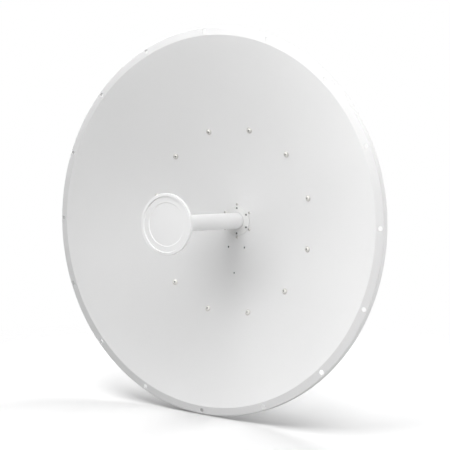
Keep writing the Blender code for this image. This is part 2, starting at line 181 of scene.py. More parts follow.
# %% [markdown]
# ## Moulded plastic
# The feed's tube and cap are injection-moulded ASA, a plastic that stands the sun, left as it
# comes from a finely eroded mould. It looks a touch cleaner and smoother than the coating. The
# mould's grain is about 0.1 mm, drawn here at 2 mm. It could be real relief, but a bump that only
# tilts the light is enough for a grain so shallow.

# %% White plastic of the feed
PLASTIC_WHITE = "#F4F4F4"
GRAIN_SIZE = 2
GRAIN_HEIGHT = 0.00001
FLOW_SIZE = 40

plastic, tree, shader, metres = new_finish("moulded ASA plastic", PLASTIC_WHITE,
                                           Roughness=0.38, IOR=1.52)
grain = add_node(tree, "ShaderNodeTexNoise",
                 {"Scale": per_millimetres(GRAIN_SIZE), "Detail": 2.0}, {"Vector": metres})
add_node(tree, "ShaderNodeBump", {"Distance": GRAIN_HEIGHT}, {"Height": grain.outputs["Fac"]},
         {"Normal": shader.inputs["Normal"]})
flow = add_node(tree, "ShaderNodeTexNoise",
                {"Scale": per_millimetres(FLOW_SIZE), "Detail": 2.0}, {"Vector": metres})
add_node(tree, "ShaderNodeMapRange", {"To Min": 0.34, "To Max": 0.42},
         {"Value": flow.outputs["Fac"]}, {"Result": shader.inputs["Roughness"]})
print(plastic.name, "with", len(tree.nodes), "nodes")

# %% [markdown]
# ## Glass-filled nylon
# The flange that holds the tube carries the load, so it is glass-filled nylon. It could share the
# tube's plastic, but the glass takes the clean white off it, which sets it off from the tube. The
# short fibres leave the surface faintly wavy at about 3 mm.

# %% White nylon of the feed's flange
NYLON_WHITE = "#EAEAE9"
FIBRE_SIZE = 3
FIBRE_HEIGHT = 0.00002

nylon, tree, shader, metres = new_finish("glass-filled nylon", NYLON_WHITE, Roughness=0.5, IOR=1.53)
fibre = add_node(tree, "ShaderNodeTexNoise",
                 {"Scale": per_millimetres(FIBRE_SIZE), "Detail": 2.0}, {"Vector": metres})
add_node(tree, "ShaderNodeBump", {"Distance": FIBRE_HEIGHT}, {"Height": fibre.outputs["Fac"]},
         {"Normal": shader.inputs["Normal"]})
print(nylon.name, "with", len(tree.nodes), "nodes")

# %% [markdown]
# ## Hot-dip galvanised steel
# The ring, plate, cheeks and bracket are steel dipped in molten zinc. The zinc freezes into flat
# crystals about 9 mm wide, each a slightly different grey, and dulls with time. A noise would
# blur the edges of the crystals. A Voronoi pattern keeps them and gives each crystal its own
# value, which steers both colour and roughness.

# %% Zinc crystals
ZINC_DARK = "#A3A7AA"
ZINC_LIGHT = "#C3C6C8"
CRYSTAL_SIZE = 9
ZINC_GRIT_SIZE = 3
ZINC_GRIT_HEIGHT = 0.00004

galvanised, tree, shader, metres = new_finish("hot-dip galvanised steel", ZINC_LIGHT,
                                              Metallic=1.0, Roughness=0.45)
crystals = add_node(tree, "ShaderNodeTexVoronoi", {"Scale": per_millimetres(CRYSTAL_SIZE)},
                    {"Vector": metres})
one_value = add_node(tree, "ShaderNodeSeparateColor", None, {"Color": crystals.outputs["Color"]})
add_node(tree, "ShaderNodeMix",
         {"data_type": "RGBA", COLOUR_A: linear(ZINC_DARK), COLOUR_B: linear(ZINC_LIGHT)},
         {"Factor": one_value.outputs["Red"]}, {MIXED_COLOUR: shader.inputs["Base Color"]})
add_node(tree, "ShaderNodeMapRange", {"To Min": 0.38, "To Max": 0.55},
         {"Value": one_value.outputs["Green"]}, {"Result": shader.inputs["Roughness"]})
grit = add_node(tree, "ShaderNodeTexNoise",
                {"Scale": per_millimetres(ZINC_GRIT_SIZE), "Detail": 3.0}, {"Vector": metres})
add_node(tree, "ShaderNodeBump", {"Distance": ZINC_GRIT_HEIGHT}, {"Height": grit.outputs["Fac"]},
         {"Normal": shader.inputs["Normal"]})
print(galvanised.name, "with", len(tree.nodes), "nodes")

# %% [markdown]
# ## Stainless steel
# Bolts, nuts and washers are cold-formed A2 stainless steel, tumbled dull: a light metal with a
# soft shine, white where it faces the sky and grey below. A brushed finish would need streaks,
# but forming and tumbling leave none, so a fine noise varies the roughness at about 1 mm.

# %% Stainless fasteners
STEEL_GREY = "#D0CECB"
TUMBLE_SIZE = 1
TUMBLE_HEIGHT = 0.00001

stainless, tree, shader, metres = new_finish("stainless steel", STEEL_GREY,
                                             Metallic=1.0, Roughness=0.50)
tumble = add_node(tree, "ShaderNodeTexNoise",
                  {"Scale": per_millimetres(TUMBLE_SIZE), "Detail": 2.0}, {"Vector": metres})
add_node(tree, "ShaderNodeMapRange", {"To Min": 0.45, "To Max": 0.55},
         {"Value": tumble.outputs["Fac"]}, {"Result": shader.inputs["Roughness"]})
add_node(tree, "ShaderNodeBump", {"Distance": TUMBLE_HEIGHT}, {"Height": tumble.outputs["Fac"]},
         {"Normal": shader.inputs["Normal"]})
print(stainless.name, "with", len(tree.nodes), "nodes")

# %% [markdown]
# ## Blackened steel, and painted shade in sockets
# The six screws sunk into the feed's flange are oxidised black, a thin matt layer that still
# lets a little metal shine through. Plain black would look like a hole. A dark metal with uneven
# roughness looks like a screw, and still reads as a dark spot in the white plastic. The same dark
# finish is also laid in the sockets of the bright heads as painted shade, for the shade inside
# them.

# %% Blackened screws, and painted shade for sockets
BLACK_OXIDE_AND_SOCKET_SHADE = "#6A6B6D"
OXIDE_SIZE = 1

blackened_and_socket_shade, tree, shader, metres = new_finish("black-oxidised steel and socket shade", BLACK_OXIDE_AND_SOCKET_SHADE,
                                             Metallic=1.0, Roughness=0.42)
oxide = add_node(tree, "ShaderNodeTexNoise",
                 {"Scale": per_millimetres(OXIDE_SIZE), "Detail": 2.0}, {"Vector": metres})
add_node(tree, "ShaderNodeMapRange", {"To Min": 0.35, "To Max": 0.50},
         {"Value": oxide.outputs["Fac"]}, {"Result": shader.inputs["Roughness"]})
print(blackened_and_socket_shade.name, "with", len(tree.nodes), "nodes")

# %% [markdown]
# ## Die-cast aluminium
# The feed's neck and the housing behind it are die-cast aluminium, grey and dull from the die's
# release film. The film lies in patches about 12 mm wide over a fine grit. One noise could do for
# both, but each has a size of its own, so one noise gives the colour and another the relief.

# %% Cast housing
CAST_DARK = "#A9ABAD"
CAST_LIGHT = "#BFC0C1"
CAST_SIZE = 12
CAST_GRIT_SIZE = 1.5
CAST_GRIT_HEIGHT = 0.00005

cast, tree, shader, metres = new_finish("die-cast aluminium", CAST_LIGHT,
                                        Metallic=1.0, Roughness=0.5)
film = add_node(tree, "ShaderNodeTexNoise",
                {"Scale": per_millimetres(CAST_SIZE), "Detail": 4.0}, {"Vector": metres})
add_node(tree, "ShaderNodeMix",
         {"data_type": "RGBA", COLOUR_A: linear(CAST_DARK), COLOUR_B: linear(CAST_LIGHT)},
         {"Factor": film.outputs["Fac"]}, {MIXED_COLOUR: shader.inputs["Base Color"]})
grit = add_node(tree, "ShaderNodeTexNoise",
                {"Scale": per_millimetres(CAST_GRIT_SIZE), "Detail": 2.0}, {"Vector": metres})
add_node(tree, "ShaderNodeBump", {"Distance": CAST_GRIT_HEIGHT}, {"Height": grit.outputs["Fac"]},
         {"Normal": shader.inputs["Normal"]})
print(cast.name, "with", len(tree.nodes), "nodes")

# %% [markdown]
# ## Nickel plating
# The coaxial ports are turned brass with bright nickel plating, a slightly yellow metal. The
# lathe's marks run round the axis. A noise has no direction, so a wave pattern draws them. It
# puts about three in its size of 0.8 mm, so they lie a quarter of a millimetre apart.

# %% Plated ports
NICKEL_COLOUR = "#CFC9BE"
TURNING_SIZE = 0.8
TURNING_HEIGHT = 0.000005

nickel, tree, shader, metres = new_finish("nickel-plated brass", NICKEL_COLOUR,
                                          Metallic=1.0, Roughness=0.22)
turning = add_node(tree, "ShaderNodeTexWave", {
    "bands_direction": "Z", "Scale": per_millimetres(TURNING_SIZE), "Distortion": 0.5},
    {"Vector": metres})
add_node(tree, "ShaderNodeBump", {"Distance": TURNING_HEIGHT}, {"Height": turning.outputs["Fac"]},
         {"Normal": shader.inputs["Normal"]})
print(nickel.name, "with", len(tree.nodes), "nodes")

# %% [markdown]
# ## Shapes that are turned
# Most pieces here are round: the dish, the feed, washers, bolts. They could be stacks of
# cylinders and cones, but those have sharp edges. A real edge is rounded, and it is the rounding
# that catches the light. So each piece is a section turned about an axis, and a first helper
# turns the corners of a section to arcs.

# %% Helper for sections
def rounded(corners, segments=4):
    """Section points from (across, along, corner radius), each corner turned to an arc."""
    points = []
    for i, (across, along, radius) in enumerate(corners):
        here = Vector((across, along))
        if radius == 0:
            points.append(tuple(here))
            continue
        back = (Vector(corners[i - 1][:2]) - here).normalized()
        ahead = (Vector(corners[(i + 1) % len(corners)][:2]) - here).normalized()
        half = back.angle(ahead) / 2
        centre = here + (back + ahead).normalized() * radius / math.sin(half)
        first = here + back * radius / math.tan(half) - centre
        last = here + ahead * radius / math.tan(half) - centre
        sweep = math.pi - 2 * half
        for step in range(segments + 1):
            angle = sweep * step / segments
            swung = (first * math.sin(sweep - angle) + last * math.sin(angle)) / math.sin(sweep)
            points.append(tuple(centre + swung))
    return points


square = [(1, 0, 0.1), (2, 0, 0.1), (2, 1, 0.1), (1, 1, 0.1)]
print("a rounded square has", len(rounded(square)), "points")

# %% [markdown]
# ## Turning a section
# A second helper turns the section about Z. The Screw modifier does that too. The helper builds
# the rings itself, because a section point may then carry the distance from the axis to a flat,
# which trims its ring to a hexagon. So it also makes nuts, bolt heads with their curved chamfers,
# and sockets.

# %% Helpers for turned shapes
HEX = math.radians(60)
ON_AXIS = 1e-9


def around(count, first=0.0):
    """Evenly spaced angles round a full circle."""
    return [first + math.tau * i / count for i in range(count)]


def ring_radius(angle, radius, flat=None):
    """Radius at an angle, trimmed to a hexagon whose flats lie at a distance from the axis."""
    if flat is None:
        return radius
    return min(radius, flat / math.cos((angle + HEX / 2) % HEX - HEX / 2))


def turned(section, steps, closed=False):
    """A shape turned about Z from (radius, height) or (radius, height, flat) points."""
    shape = bmesh.new()
    rings = []
    for radius, height, *flat in section:
        if radius < ON_AXIS:
            rings.append([shape.verts.new((0, 0, height))])
            continue
        spokes = [(a, ring_radius(a, radius, *flat)) for a in around(steps)]
        rings.append([shape.verts.new((r * math.cos(a), r * math.sin(a), height))
                      for a, r in spokes])
    pairs = list(zip(rings, rings[1:]))
    if closed:
        pairs.append((rings[-1], rings[0]))
    for one, other in pairs:
        for i in range(steps):
            j = (i + 1) % steps
            corners = [one[i % len(one)], other[i % len(other)],
                       other[j % len(other)], one[j % len(one)]]
            shape.faces.new(dict.fromkeys(corners))
    bmesh.ops.recalc_face_normals(shape, faces=shape.faces)
    return shape


print("hexagon corner over flat:", round(ring_radius(HEX / 2, 9, 1), 4))

# %% [markdown]
# ## From shape to piece
# A piece is an object that rides on the part's one body. Flat shading would show every facet of
# a round piece, and smooth shading alone would make flat faces look swollen. So faces that meet
# at a small angle are shaded as one surface, real edges stay sharp, and weighted normals let the
# large faces rule, so that a flat stays flat up to its rounded edge.

# %% Helper for pieces
EDGE_ANGLE = math.radians(35)
triangle_count = {}


def add_piece(name, shape, finish, stands_for=()):
    """Makes an object from a shape, gives it its finish, and sets it riding."""
    bmesh.ops.recalc_face_normals(shape, faces=shape.faces)
    mesh = bpy.data.meshes.new(name)
    shape.to_mesh(mesh)
    shape.free()
    mesh.materials.append(finish)
    mesh.shade_smooth()
    mesh.set_sharp_from_angle(angle=EDGE_ANGLE)
    piece = bpy.data.objects.new(name, mesh)
    bpy.context.scene.collection.objects.link(piece)
    weighted = piece.modifiers.new("weighted normals", "WEIGHTED_NORMAL")
    weighted.keep_sharp = True
    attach(piece, "root")
    if stands_for:
        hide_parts(*stands_for)
    triangle_count[name] = sum(len(face.vertices) - 2 for face in mesh.polygons)
    print(f"{name}: {triangle_count[name]} triangles")
    return piece


print("edges over", round(math.degrees(EDGE_ANGLE)), "degrees stay sharp")

# %% [markdown]
# ## The reflector
# A deep paraboloid, spun over a former, with a flat flange folded outward at the mouth and a lip
# turned back from its edge, leaning out a little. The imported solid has 72 sides, which would show
# as facets in a wide soft reflection, so a finer skin stands for it. Subdividing that solid would
# pull it off its parabola, so the skin's section is worked out anew. It follows the parabola,
# rolls over the crease, the flange's bend and the lip's edge, and comes back 2 mm behind. Where
# the sheet bends, the outer radius is the inner one plus the sheet's thickness.

# %% Turn the reflector's skin
FOCAL_LENGTH = 0.360
BOWL_RADIUS = 0.500
SHEET = 0.002
LIP_DEPTH = 0.016
LIP_SPREAD = 0.002
LIP_LEAN = math.atan(LIP_SPREAD / LIP_DEPTH)
RIM_BEND = 0.003
CREASE_ROUNDING = 0.0024
CUT_EDGE = 0.0005
CENTRE_HOLE_RADIUS = 0.030
DISH_STEPS = 288
BOWL_SEGMENTS = 40
FACE_FRONT = Matrix.Rotation(math.radians(90), 4, "X")

dish_low, dish_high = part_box("reflector")
RIM_REACH = -dish_low.y
RIM_RADIUS = dish_high.x
APEX_REACH = RIM_REACH - BOWL_RADIUS**2 / (4 * FOCAL_LENGTH)


def bowl_reach(radius):
    """Reach of the bowl's front surface."""
    return APEX_REACH + radius**2 / (4 * FOCAL_LENGTH)


def bowl_slope(radius):
    """Angle of the bowl's surface to a plane across the axis."""
    return math.atan(radius / (2 * FOCAL_LENGTH))


def reflector_section():
    """Corners of the sheet: bowl front, flange, lip, and back along the rear side."""
    span = BOWL_RADIUS - CENTRE_HOLE_RADIUS
    radii = [CENTRE_HOLE_RADIUS + span * i / BOWL_SEGMENTS for i in range(BOWL_SEGMENTS)]
    front = [(r, bowl_reach(r), 0) for r in radii]
    rear = [(r + SHEET * math.sin(bowl_slope(r)),
             bowl_reach(r) - SHEET * math.cos(bowl_slope(r)), 0) for r in radii[1:]]
    hole_edge = (CENTRE_HOLE_RADIUS, bowl_reach(CENTRE_HOLE_RADIUS) - SHEET, 0)
    lip_end = RIM_REACH - LIP_DEPTH
    lip_across = SHEET / math.cos(LIP_LEAN)
    outer_corner = RIM_RADIUS - LIP_DEPTH * math.tan(LIP_LEAN)
    inner_corner = outer_corner + SHEET * math.tan(LIP_LEAN) - lip_across
    rear_crease = BOWL_RADIUS + SHEET * math.tan(bowl_slope(BOWL_RADIUS) / 2)
    fold = [
        (BOWL_RADIUS, RIM_REACH, CREASE_ROUNDING),
        (outer_corner, RIM_REACH, RIM_BEND),
        (RIM_RADIUS, lip_end, CUT_EDGE),
        (RIM_RADIUS - lip_across, lip_end, CUT_EDGE),
        (inner_corner, RIM_REACH - SHEET, RIM_BEND - SHEET),
        (rear_crease, RIM_REACH - SHEET, CREASE_ROUNDING - SHEET),
    ]
    return rounded(front + fold + rear[::-1] + [hole_edge])


def on_axis(section, steps, closed=False):
    """A turned shape of (radius, reach) points on the dish's axis."""
    shape = turned(section, steps, closed)
    bmesh.ops.transform(shape, matrix=FACE_FRONT, verts=shape.verts)
    return shape


skin = on_axis(reflector_section(), DISH_STEPS, closed=True)
print("bowl depth, mm:", round(1000 * (RIM_REACH - APEX_REACH), 1))

# %% [markdown]
# ## Drilling
# A hole is cut with an exact Boolean while the shape is still bare. Faces could be left out
# instead, but the Boolean also makes the hole's wall. The drills are cylinders between two
# points. One shape holds all the drills of a piece, so that one cut does it.

# %% Helpers for holes
DRILL_STEPS = 24


def cut(shape, tool):
    """The shape with the tool's volume taken out. Both are used up."""
    bench = []
    for label, part in (("blank", shape), ("tool", tool)):
        mesh = bpy.data.meshes.new(label)
        part.to_mesh(mesh)
        part.free()
        bench.append(bpy.data.objects.new(label, mesh))
        bpy.context.scene.collection.objects.link(bench[-1])
    blank, cutter = bench
    step = blank.modifiers.new("cut", "BOOLEAN")
    step.operation = "DIFFERENCE"
    step.solver = "EXACT"
    step.object = cutter
    view = bpy.context.evaluated_depsgraph_get()
    result = bmesh.new()
    result.from_mesh(blank.evaluated_get(view).data)
    for used in bench:
        bpy.data.objects.remove(used, do_unlink=True)
    return result


def rods(runs, sides=DRILL_STEPS):
    """Cylinders in one shape, each run a (start, end, radius)."""
    shape = bmesh.new()
    for start, end, radius in runs:
        along = Vector(end) - Vector(start)
        turn = along.to_track_quat("Z", "Y").to_matrix().to_4x4()
        middle = Matrix.Translation((Vector(start) + Vector(end)) / 2)
        bmesh.ops.create_cone(shape, cap_ends=True, segments=sides, radius1=radius, radius2=radius,
                              depth=along.length, matrix=middle @ turn)
    return shape


def spot(x, z, reach):
    """World point at a reach. The bowl looks along -Y."""
    return Vector((x, -reach, z))


print("a drill of", DRILL_STEPS, "sides")

# %% [markdown]
# ## Holes in the reflector
# Sixteen 12 mm holes round the flange take a weather cover, and three small ones below the feed
# belong to the radio's bracket. They could be dark discs on the sheet. They are cut through the
# skin instead, so that the white behind shows through the rim and the dark shows in the small
# ones. The twelve bolts hide their own holes.

# %% Cut the holes
RIM_HOLE_CIRCLE = 0.5115
RIM_HOLE_RADIUS = 0.006
RADIO_HOLES = [(-0.027, -0.076), (0.027, -0.076), (0.0, -0.149)]
RADIO_HOLE_RADIUS = 0.0028
PAST = 0.010

hole_runs = []
for angle in around(16):
    x, z = RIM_HOLE_CIRCLE * math.cos(angle), RIM_HOLE_CIRCLE * math.sin(angle)
    hole_runs.append((spot(x, z, RIM_REACH - PAST), spot(x, z, RIM_REACH + PAST), RIM_HOLE_RADIUS))
for x, z in RADIO_HOLES:
    middle = bowl_reach(math.hypot(x, z))
    hole_runs.append((spot(x, z, middle - PAST), spot(x, z, middle + PAST), RADIO_HOLE_RADIUS))
add_piece("dish_skin", cut(skin, rods(hole_runs)), coating, ["reflector"])
print(len(hole_runs), "holes")

# %% [markdown]
# ## Bolts, nuts and washers
# A bolt could be a cylinder on a disc, but the eye knows a bolt by the light on its dome, its
# chamfer and its socket. So each fastener is turned, with its seat at height 0 and its head
# upward, in standard sizes: an M8 button head is 14 mm across with a 5 mm hexagon socket, an M8
# hexagon is 13 mm across its flats. A round head has a short straight skirt, a dome, and a flat
# land round its socket. The hexagon heads get the 30 degree chamfer that leaves curved arcs on
# the flats. Threads are drawn as plain grooves, since a helix looks the same at this size.

# %% Fasteners
HEAD_STEPS = 48
THREAD_STEPS = 24
DOME_STEPS = 8
CHAMFER_STEPS = 6
WASHER_ARCS = 2
LAND_OVER_SOCKET = 1.35
SKIRT_SHARE = 0.2
SOCKET_MOUTH_SHARE = 0.05
HEXAGON_LAND_SHARE = 0.94
CHAMFER_SLOPE = math.tan(math.radians(30))
M8_FLAT = 0.0065


def disc(radius, thickness, edge):
    """A washer or plain disc from height 0 up, with rounded edges."""
    corners = [(0, 0, 0), (radius, 0, edge), (radius, thickness, edge), (0, thickness, 0)]
    return turned(rounded(corners, WASHER_ARCS), HEAD_STEPS)


def button_head(radius, height, socket_flat, socket_depth):
    """Domed head with a hexagon socket."""
    land = LAND_OVER_SOCKET * socket_flat
    skirt = SKIRT_SHARE * height
    arc = [math.pi / 2 * i / DOME_STEPS for i in range(DOME_STEPS + 1)]
    dome = [(land + (radius - land) * math.sin(a), skirt + (height - skirt) * math.cos(a))
            for a in arc]
    floor = height - socket_depth
    mouth = height - SOCKET_MOUTH_SHARE * height
    socket = [(0, floor), (2 * socket_flat, floor, socket_flat),
              (2 * socket_flat, mouth, socket_flat)]
    return turned([*socket, *dome, (radius, 0), (0, 0)], HEAD_STEPS)


def hexagon(flat, height, chamfer_both=False):
    """Hexagon head or nut: each ring is a circle of the chamfer's cone, trimmed to the flats."""
    land = HEXAGON_LAND_SHARE * flat
    corner = flat / math.cos(HEX / 2)
    across = [(corner - land) * i / CHAMFER_STEPS for i in range(CHAMFER_STEPS + 1)]
    top = [(land + a, height - a * CHAMFER_SLOPE, flat) for a in across]
    bottom = [(land, 0), (corner, 0, flat)]
    if chamfer_both:
        bottom = [(land + a, a * CHAMFER_SLOPE, flat) for a in across]
    return turned([(0, 0), *bottom, *top[::-1], (0, height)], HEAD_STEPS)


def threaded(radius, low, high, pitch):
    """A grooved rod between two heights, with a chamfered end at each."""
    points = [(0, low), (radius - pitch / 2, low)]
    count = int((high - low) / pitch) - 1
    for i in range(count):
        base = low + pitch / 2 + i * pitch
        points += [(radius, base), (radius, base + pitch / 4),
                   (radius - pitch / 2, base + pitch * 3 / 4)]
    points += [(radius - pitch / 2, high), (0, high)]
    return turned(points, THREAD_STEPS)


print("M8 head corner, mm:", round(1000 * M8_FLAT / math.cos(HEX / 2), 2))

# %% [markdown]
# ## Copies
# Twelve equal bolts need one shape and twelve places. They could be twelve objects that share a
# mesh. Here the copies are joined to one mesh, which keeps the number of objects small. A place
# is a matrix that puts a fastener's seat at a point, with its head outward. A socket's floor gets
# a thin dark hexagon of its own, painted shade for the dark inside the socket, because one mesh
# has one finish here.

# %% Helpers for copies
# SOCKET_SHADE_LAYER is the thickness of a painted-shade hexagon in a socket.
SOCKET_GAP = 0.0001
SOCKET_SHADE_LAYER = 0.0006


def copied(*batches):
    """One shape that holds each given shape at each of its places. The given shapes are used up."""
    joined = bmesh.new()
    for shape, places in batches:
        mesh = bpy.data.meshes.new("copy")
        shape.to_mesh(mesh)
        shape.free()
        for place in places:
            start = len(joined.verts)
            joined.from_mesh(mesh)
            joined.verts.ensure_lookup_table()
            bmesh.ops.transform(joined, matrix=place, verts=joined.verts[start:])
        bpy.data.meshes.remove(mesh)
    return joined


def raised_by(places, height):
    """The same places, moved along each fastener's own axis."""
    return [place @ Matrix.Translation((0, 0, height)) for place in places]


def facing(place, outward):
    """Matrix that stands a fastener on a place with its head outward."""
    return Matrix.Translation(place) @ Vector(outward).to_track_quat("Z", "Y").to_matrix().to_4x4()


def bowl_seats(circle, angles):
    """(place, outward direction) of seats square to the bowl's front, on a circle."""
    slope = bowl_slope(circle)
    seats = []
    for angle in angles:
        across = Vector((math.cos(angle), 0, math.sin(angle)))
        normal = Vector((0, -math.cos(slope), 0)) - across * math.sin(slope)
        seats.append((across * circle + spot(0, 0, bowl_reach(circle)), normal))
    return seats


def painted_socket_shade(flat, places, floor):
    """Thin dark hexagons of painted shade on the sockets' floors, at a height over each place."""
    return copied((hexagon(flat - SOCKET_GAP, SOCKET_SHADE_LAYER), raised_by(places, floor)))


print("a seat 0.2 m out leans", round(math.degrees(bowl_slope(0.2)), 1), "degrees")

# %% [markdown]
# ## The dish's bolts
# Twelve button heads on washers clamp the reflector to the ring behind it. They could all point
# straight ahead, but their washers would then stand off the curved sheet, so they stand square to
# the bowl's surface and tilt towards its axis. Each socket's end holds a thin dark layer of
# painted shade, which gives the head its small dark spot. Behind the ring each bolt has a washer,
# a nut and a short end of thread.

# %% Bolt the reflector to its ring
BOLT_CIRCLE = 0.262
BOLT_FIRST = math.radians(15)
BOLT_HEAD_RADIUS = 0.007
BOLT_HEAD_HEIGHT = 0.0042
BOLT_WASHER_RADIUS = 0.0085
BOLT_WASHER = 0.0014
BOLT_SOCKET_FLAT = 0.0025
BOLT_SOCKET_DEPTH = 0.0028
M8_RADIUS = 0.004
M8_NUT = 0.0065
M8_PITCH = 0.00125
THREAD_SHOWN = 0.003
WASHER_EDGE = 0.0003
RING_SHEET = 0.003
SEAT_SLACK = 0.0006
CLAMPED = SHEET + RING_SHEET + SEAT_SLACK

seats = bowl_seats(BOLT_CIRCLE, around(12, BOLT_FIRST))
fronts = [facing(seat, normal) for seat, normal in seats]
rears = [facing(seat - normal * CLAMPED, -normal) for seat, normal in seats]
socket_floor = BOLT_WASHER + BOLT_HEAD_HEIGHT - BOLT_SOCKET_DEPTH
add_piece("dish_bolts", copied(
    (disc(BOLT_WASHER_RADIUS, BOLT_WASHER, WASHER_EDGE), fronts),
    (button_head(BOLT_HEAD_RADIUS, BOLT_HEAD_HEIGHT, BOLT_SOCKET_FLAT, BOLT_SOCKET_DEPTH),
     raised_by(fronts, BOLT_WASHER)),
), stainless)
# The dark hexagons laid in the sockets are painted shade, for the dark inside each socket.
add_piece("dish_bolt_socket_shade", painted_socket_shade(BOLT_SOCKET_FLAT, fronts, socket_floor),
          blackened_and_socket_shade)
add_piece("dish_bolt_nuts", copied(
    (disc(BOLT_WASHER_RADIUS, BOLT_WASHER, WASHER_EDGE), rears),
    (hexagon(M8_FLAT, M8_NUT, chamfer_both=True), raised_by(rears, BOLT_WASHER)),
    (threaded(M8_RADIUS, 0.0, BOLT_WASHER + M8_NUT + THREAD_SHOWN, M8_PITCH), rears),
), stainless)

# %% [markdown]
# ## The feed
# A white plastic tube stands on a round flange in the middle of the bowl and carries a cap whose
# rear reflects the signal back to the bowl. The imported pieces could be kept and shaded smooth,
# but their outlines have corners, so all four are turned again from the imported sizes, with finer
# steps and rounded edges. First come the tube, which tapers a little, and the cone that widens
# to the cap behind it.

# %% Turn the tube and the cone
COLLAR_END_RADIUS = 0.040
COLLAR_LAND = 0.003
TUBE_FOOT_RADIUS = 0.0228
TUBE_END_RADIUS = 0.0213
CAP_FILLET = 0.0006
FEED_STEPS = 128


def node_span(node):
    """(rear reach, front reach, largest radius) of a turned node on the dish axis."""
    low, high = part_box(node)
    return -high.y, -low.y, high.x


rear, front, _ = node_span("feed_tube")
add_piece("feed_tube_skin", on_axis(rounded([
    (0, front, 0),
    (TUBE_END_RADIUS, front, 0),
    (TUBE_FOOT_RADIUS, rear, 0),
    (0, rear, 0),
]), FEED_STEPS), plastic, ["feed_tube"])

rear, front, _ = node_span("feed_collar")
add_piece("feed_cone", on_axis(rounded([
    (0, front, 0),
    (COLLAR_END_RADIUS, front, CAP_FILLET),
    (COLLAR_END_RADIUS, front - COLLAR_LAND, CAP_FILLET),
    (TUBE_END_RADIUS, rear, 0),
    (0, rear, 0),
]), FEED_STEPS), plastic, ["feed_collar"])

# %% [markdown]
# ## The cap
# The cap's face has a raised lip, a recess and a shallow step, which show as crescents of light
# and shade. Rings could be set on a plain disc, but one section keeps a small fillet in every
# corner, and lets the walls lean by the draft that frees a moulding from its mould.

# %% Turn the cap
LIP_RADIUS = 0.0715
STEP_RADIUS = 0.056
CAP_RECESS = 0.0035
CAP_STEP = 0.0015
CAP_DRAFT = 0.001
CAP_EDGE = 0.001
CAP_STEPS = 192

rear, front, radius = node_span("feed_disc")
recess = front - CAP_RECESS
floor = recess - CAP_STEP
add_piece("feed_cap", on_axis(rounded([
    (0, floor, 0),
    (STEP_RADIUS - CAP_DRAFT, floor, CAP_FILLET),
    (STEP_RADIUS, recess, CAP_FILLET),
    (LIP_RADIUS - CAP_DRAFT, recess, CAP_FILLET),
    (LIP_RADIUS, front, CAP_FILLET),
    (radius, front, CAP_EDGE),
    (radius, rear, CAP_EDGE),
    (0, rear, 0),
]), CAP_STEPS), plastic, ["feed_disc"])

# %% [markdown]
# ## The feed's flange
# The flange steps in at its rear and has a groove round the tube's foot: both stay dark and draw
# the thin crescents there. Dark lines could be painted on, but they would stay dark from every
# side. Six black screws, sunk in counterbores, hold the tube to it.

# %% Flange with sunk screws
SCREW_ANGLES = around(6, math.radians(30))
FLANGE_EDGE = 0.0008
UNDERCUT_DEPTH = 0.004
UNDERCUT_HEIGHT = 0.0016
CRISP_EDGE = 0.0002
GROOVE_RADIUS = 0.0241
GROOVE_DEPTH = 0.0015
SUNK_CIRCLE = 0.0362
SUNK_RADIUS = 0.0035
SUNK_DEPTH = 0.0024
SUNK_HEAD_RADIUS = 0.0029
SUNK_HEAD_HEIGHT = 0.0010
SUNK_SOCKET_FLAT = 0.00125
SUNK_SOCKET_DEPTH = 0.0008

flange_rear, flange_front, flange_radius = node_span("feed_flange")
undercut = flange_rear + UNDERCUT_HEIGHT
flange = on_axis(rounded([
    (0, flange_front - GROOVE_DEPTH, 0),
    (GROOVE_RADIUS, flange_front - GROOVE_DEPTH, 0),
    (GROOVE_RADIUS, flange_front, CRISP_EDGE),
    (flange_radius, flange_front, FLANGE_EDGE),
    (flange_radius, undercut, CRISP_EDGE),
    (flange_radius - UNDERCUT_DEPTH, undercut, 0),
    (flange_radius - UNDERCUT_DEPTH, flange_rear, 0),
    (0, flange_rear, 0),
]), FEED_STEPS)
sunk_spots = [(SUNK_CIRCLE * math.cos(a), SUNK_CIRCLE * math.sin(a)) for a in SCREW_ANGLES]
sunk_seat = flange_front - SUNK_DEPTH
counterbores = rods([(spot(x, z, sunk_seat), spot(x, z, flange_front + PAST), SUNK_RADIUS)
                     for x, z in sunk_spots])
add_piece("feed_flange_skin", cut(flange, counterbores), nylon, ["feed_flange"])

sunk = [facing(spot(x, z, sunk_seat), (0, -1, 0)) for x, z in sunk_spots]
add_piece("sunk_screws", copied(
    (button_head(SUNK_HEAD_RADIUS, SUNK_HEAD_HEIGHT, SUNK_SOCKET_FLAT, SUNK_SOCKET_DEPTH), sunk),
), blackened_and_socket_shade)

# %% [markdown]
# ## Round heads outside the flange
# Six bright round heads stand on the bowl just outside the flange. A sunk head shows as a dark
# spot, a raised one as a bright dome, and that difference is what the eye reads at this size.

# %% Screws round the flange
RAISED_CIRCLE = 0.0475
RAISED_RADIUS = 0.0042
RAISED_HEIGHT = 0.0028
RAISED_SOCKET_FLAT = 0.0015
RAISED_SOCKET_DEPTH = 0.0018

raised = [facing(seat, normal) for seat, normal in bowl_seats(RAISED_CIRCLE, SCREW_ANGLES)]
add_piece("raised_screws", copied(
    (button_head(RAISED_RADIUS, RAISED_HEIGHT, RAISED_SOCKET_FLAT, RAISED_SOCKET_DEPTH), raised),
), stainless)
socket_floor = RAISED_HEIGHT - RAISED_SOCKET_DEPTH
# The dark hexagons laid in the sockets are painted shade, for the dark inside each socket.
add_piece("raised_screw_socket_shade", painted_socket_shade(RAISED_SOCKET_FLAT, raised, socket_floor),
          blackened_and_socket_shade)

# %% [markdown]
# ## The ring behind the dish
# A pressed steel ring: a sloping flange that fits the bowl's back, a wall, and a flat flange
# towards the rear. Three plain rings would do from afar, but sheet cannot fold to a sharp corner,
# so one section gets bend radii. The inner radius of the rear bend is the sheet's thickness, and
# its outer one is twice that.

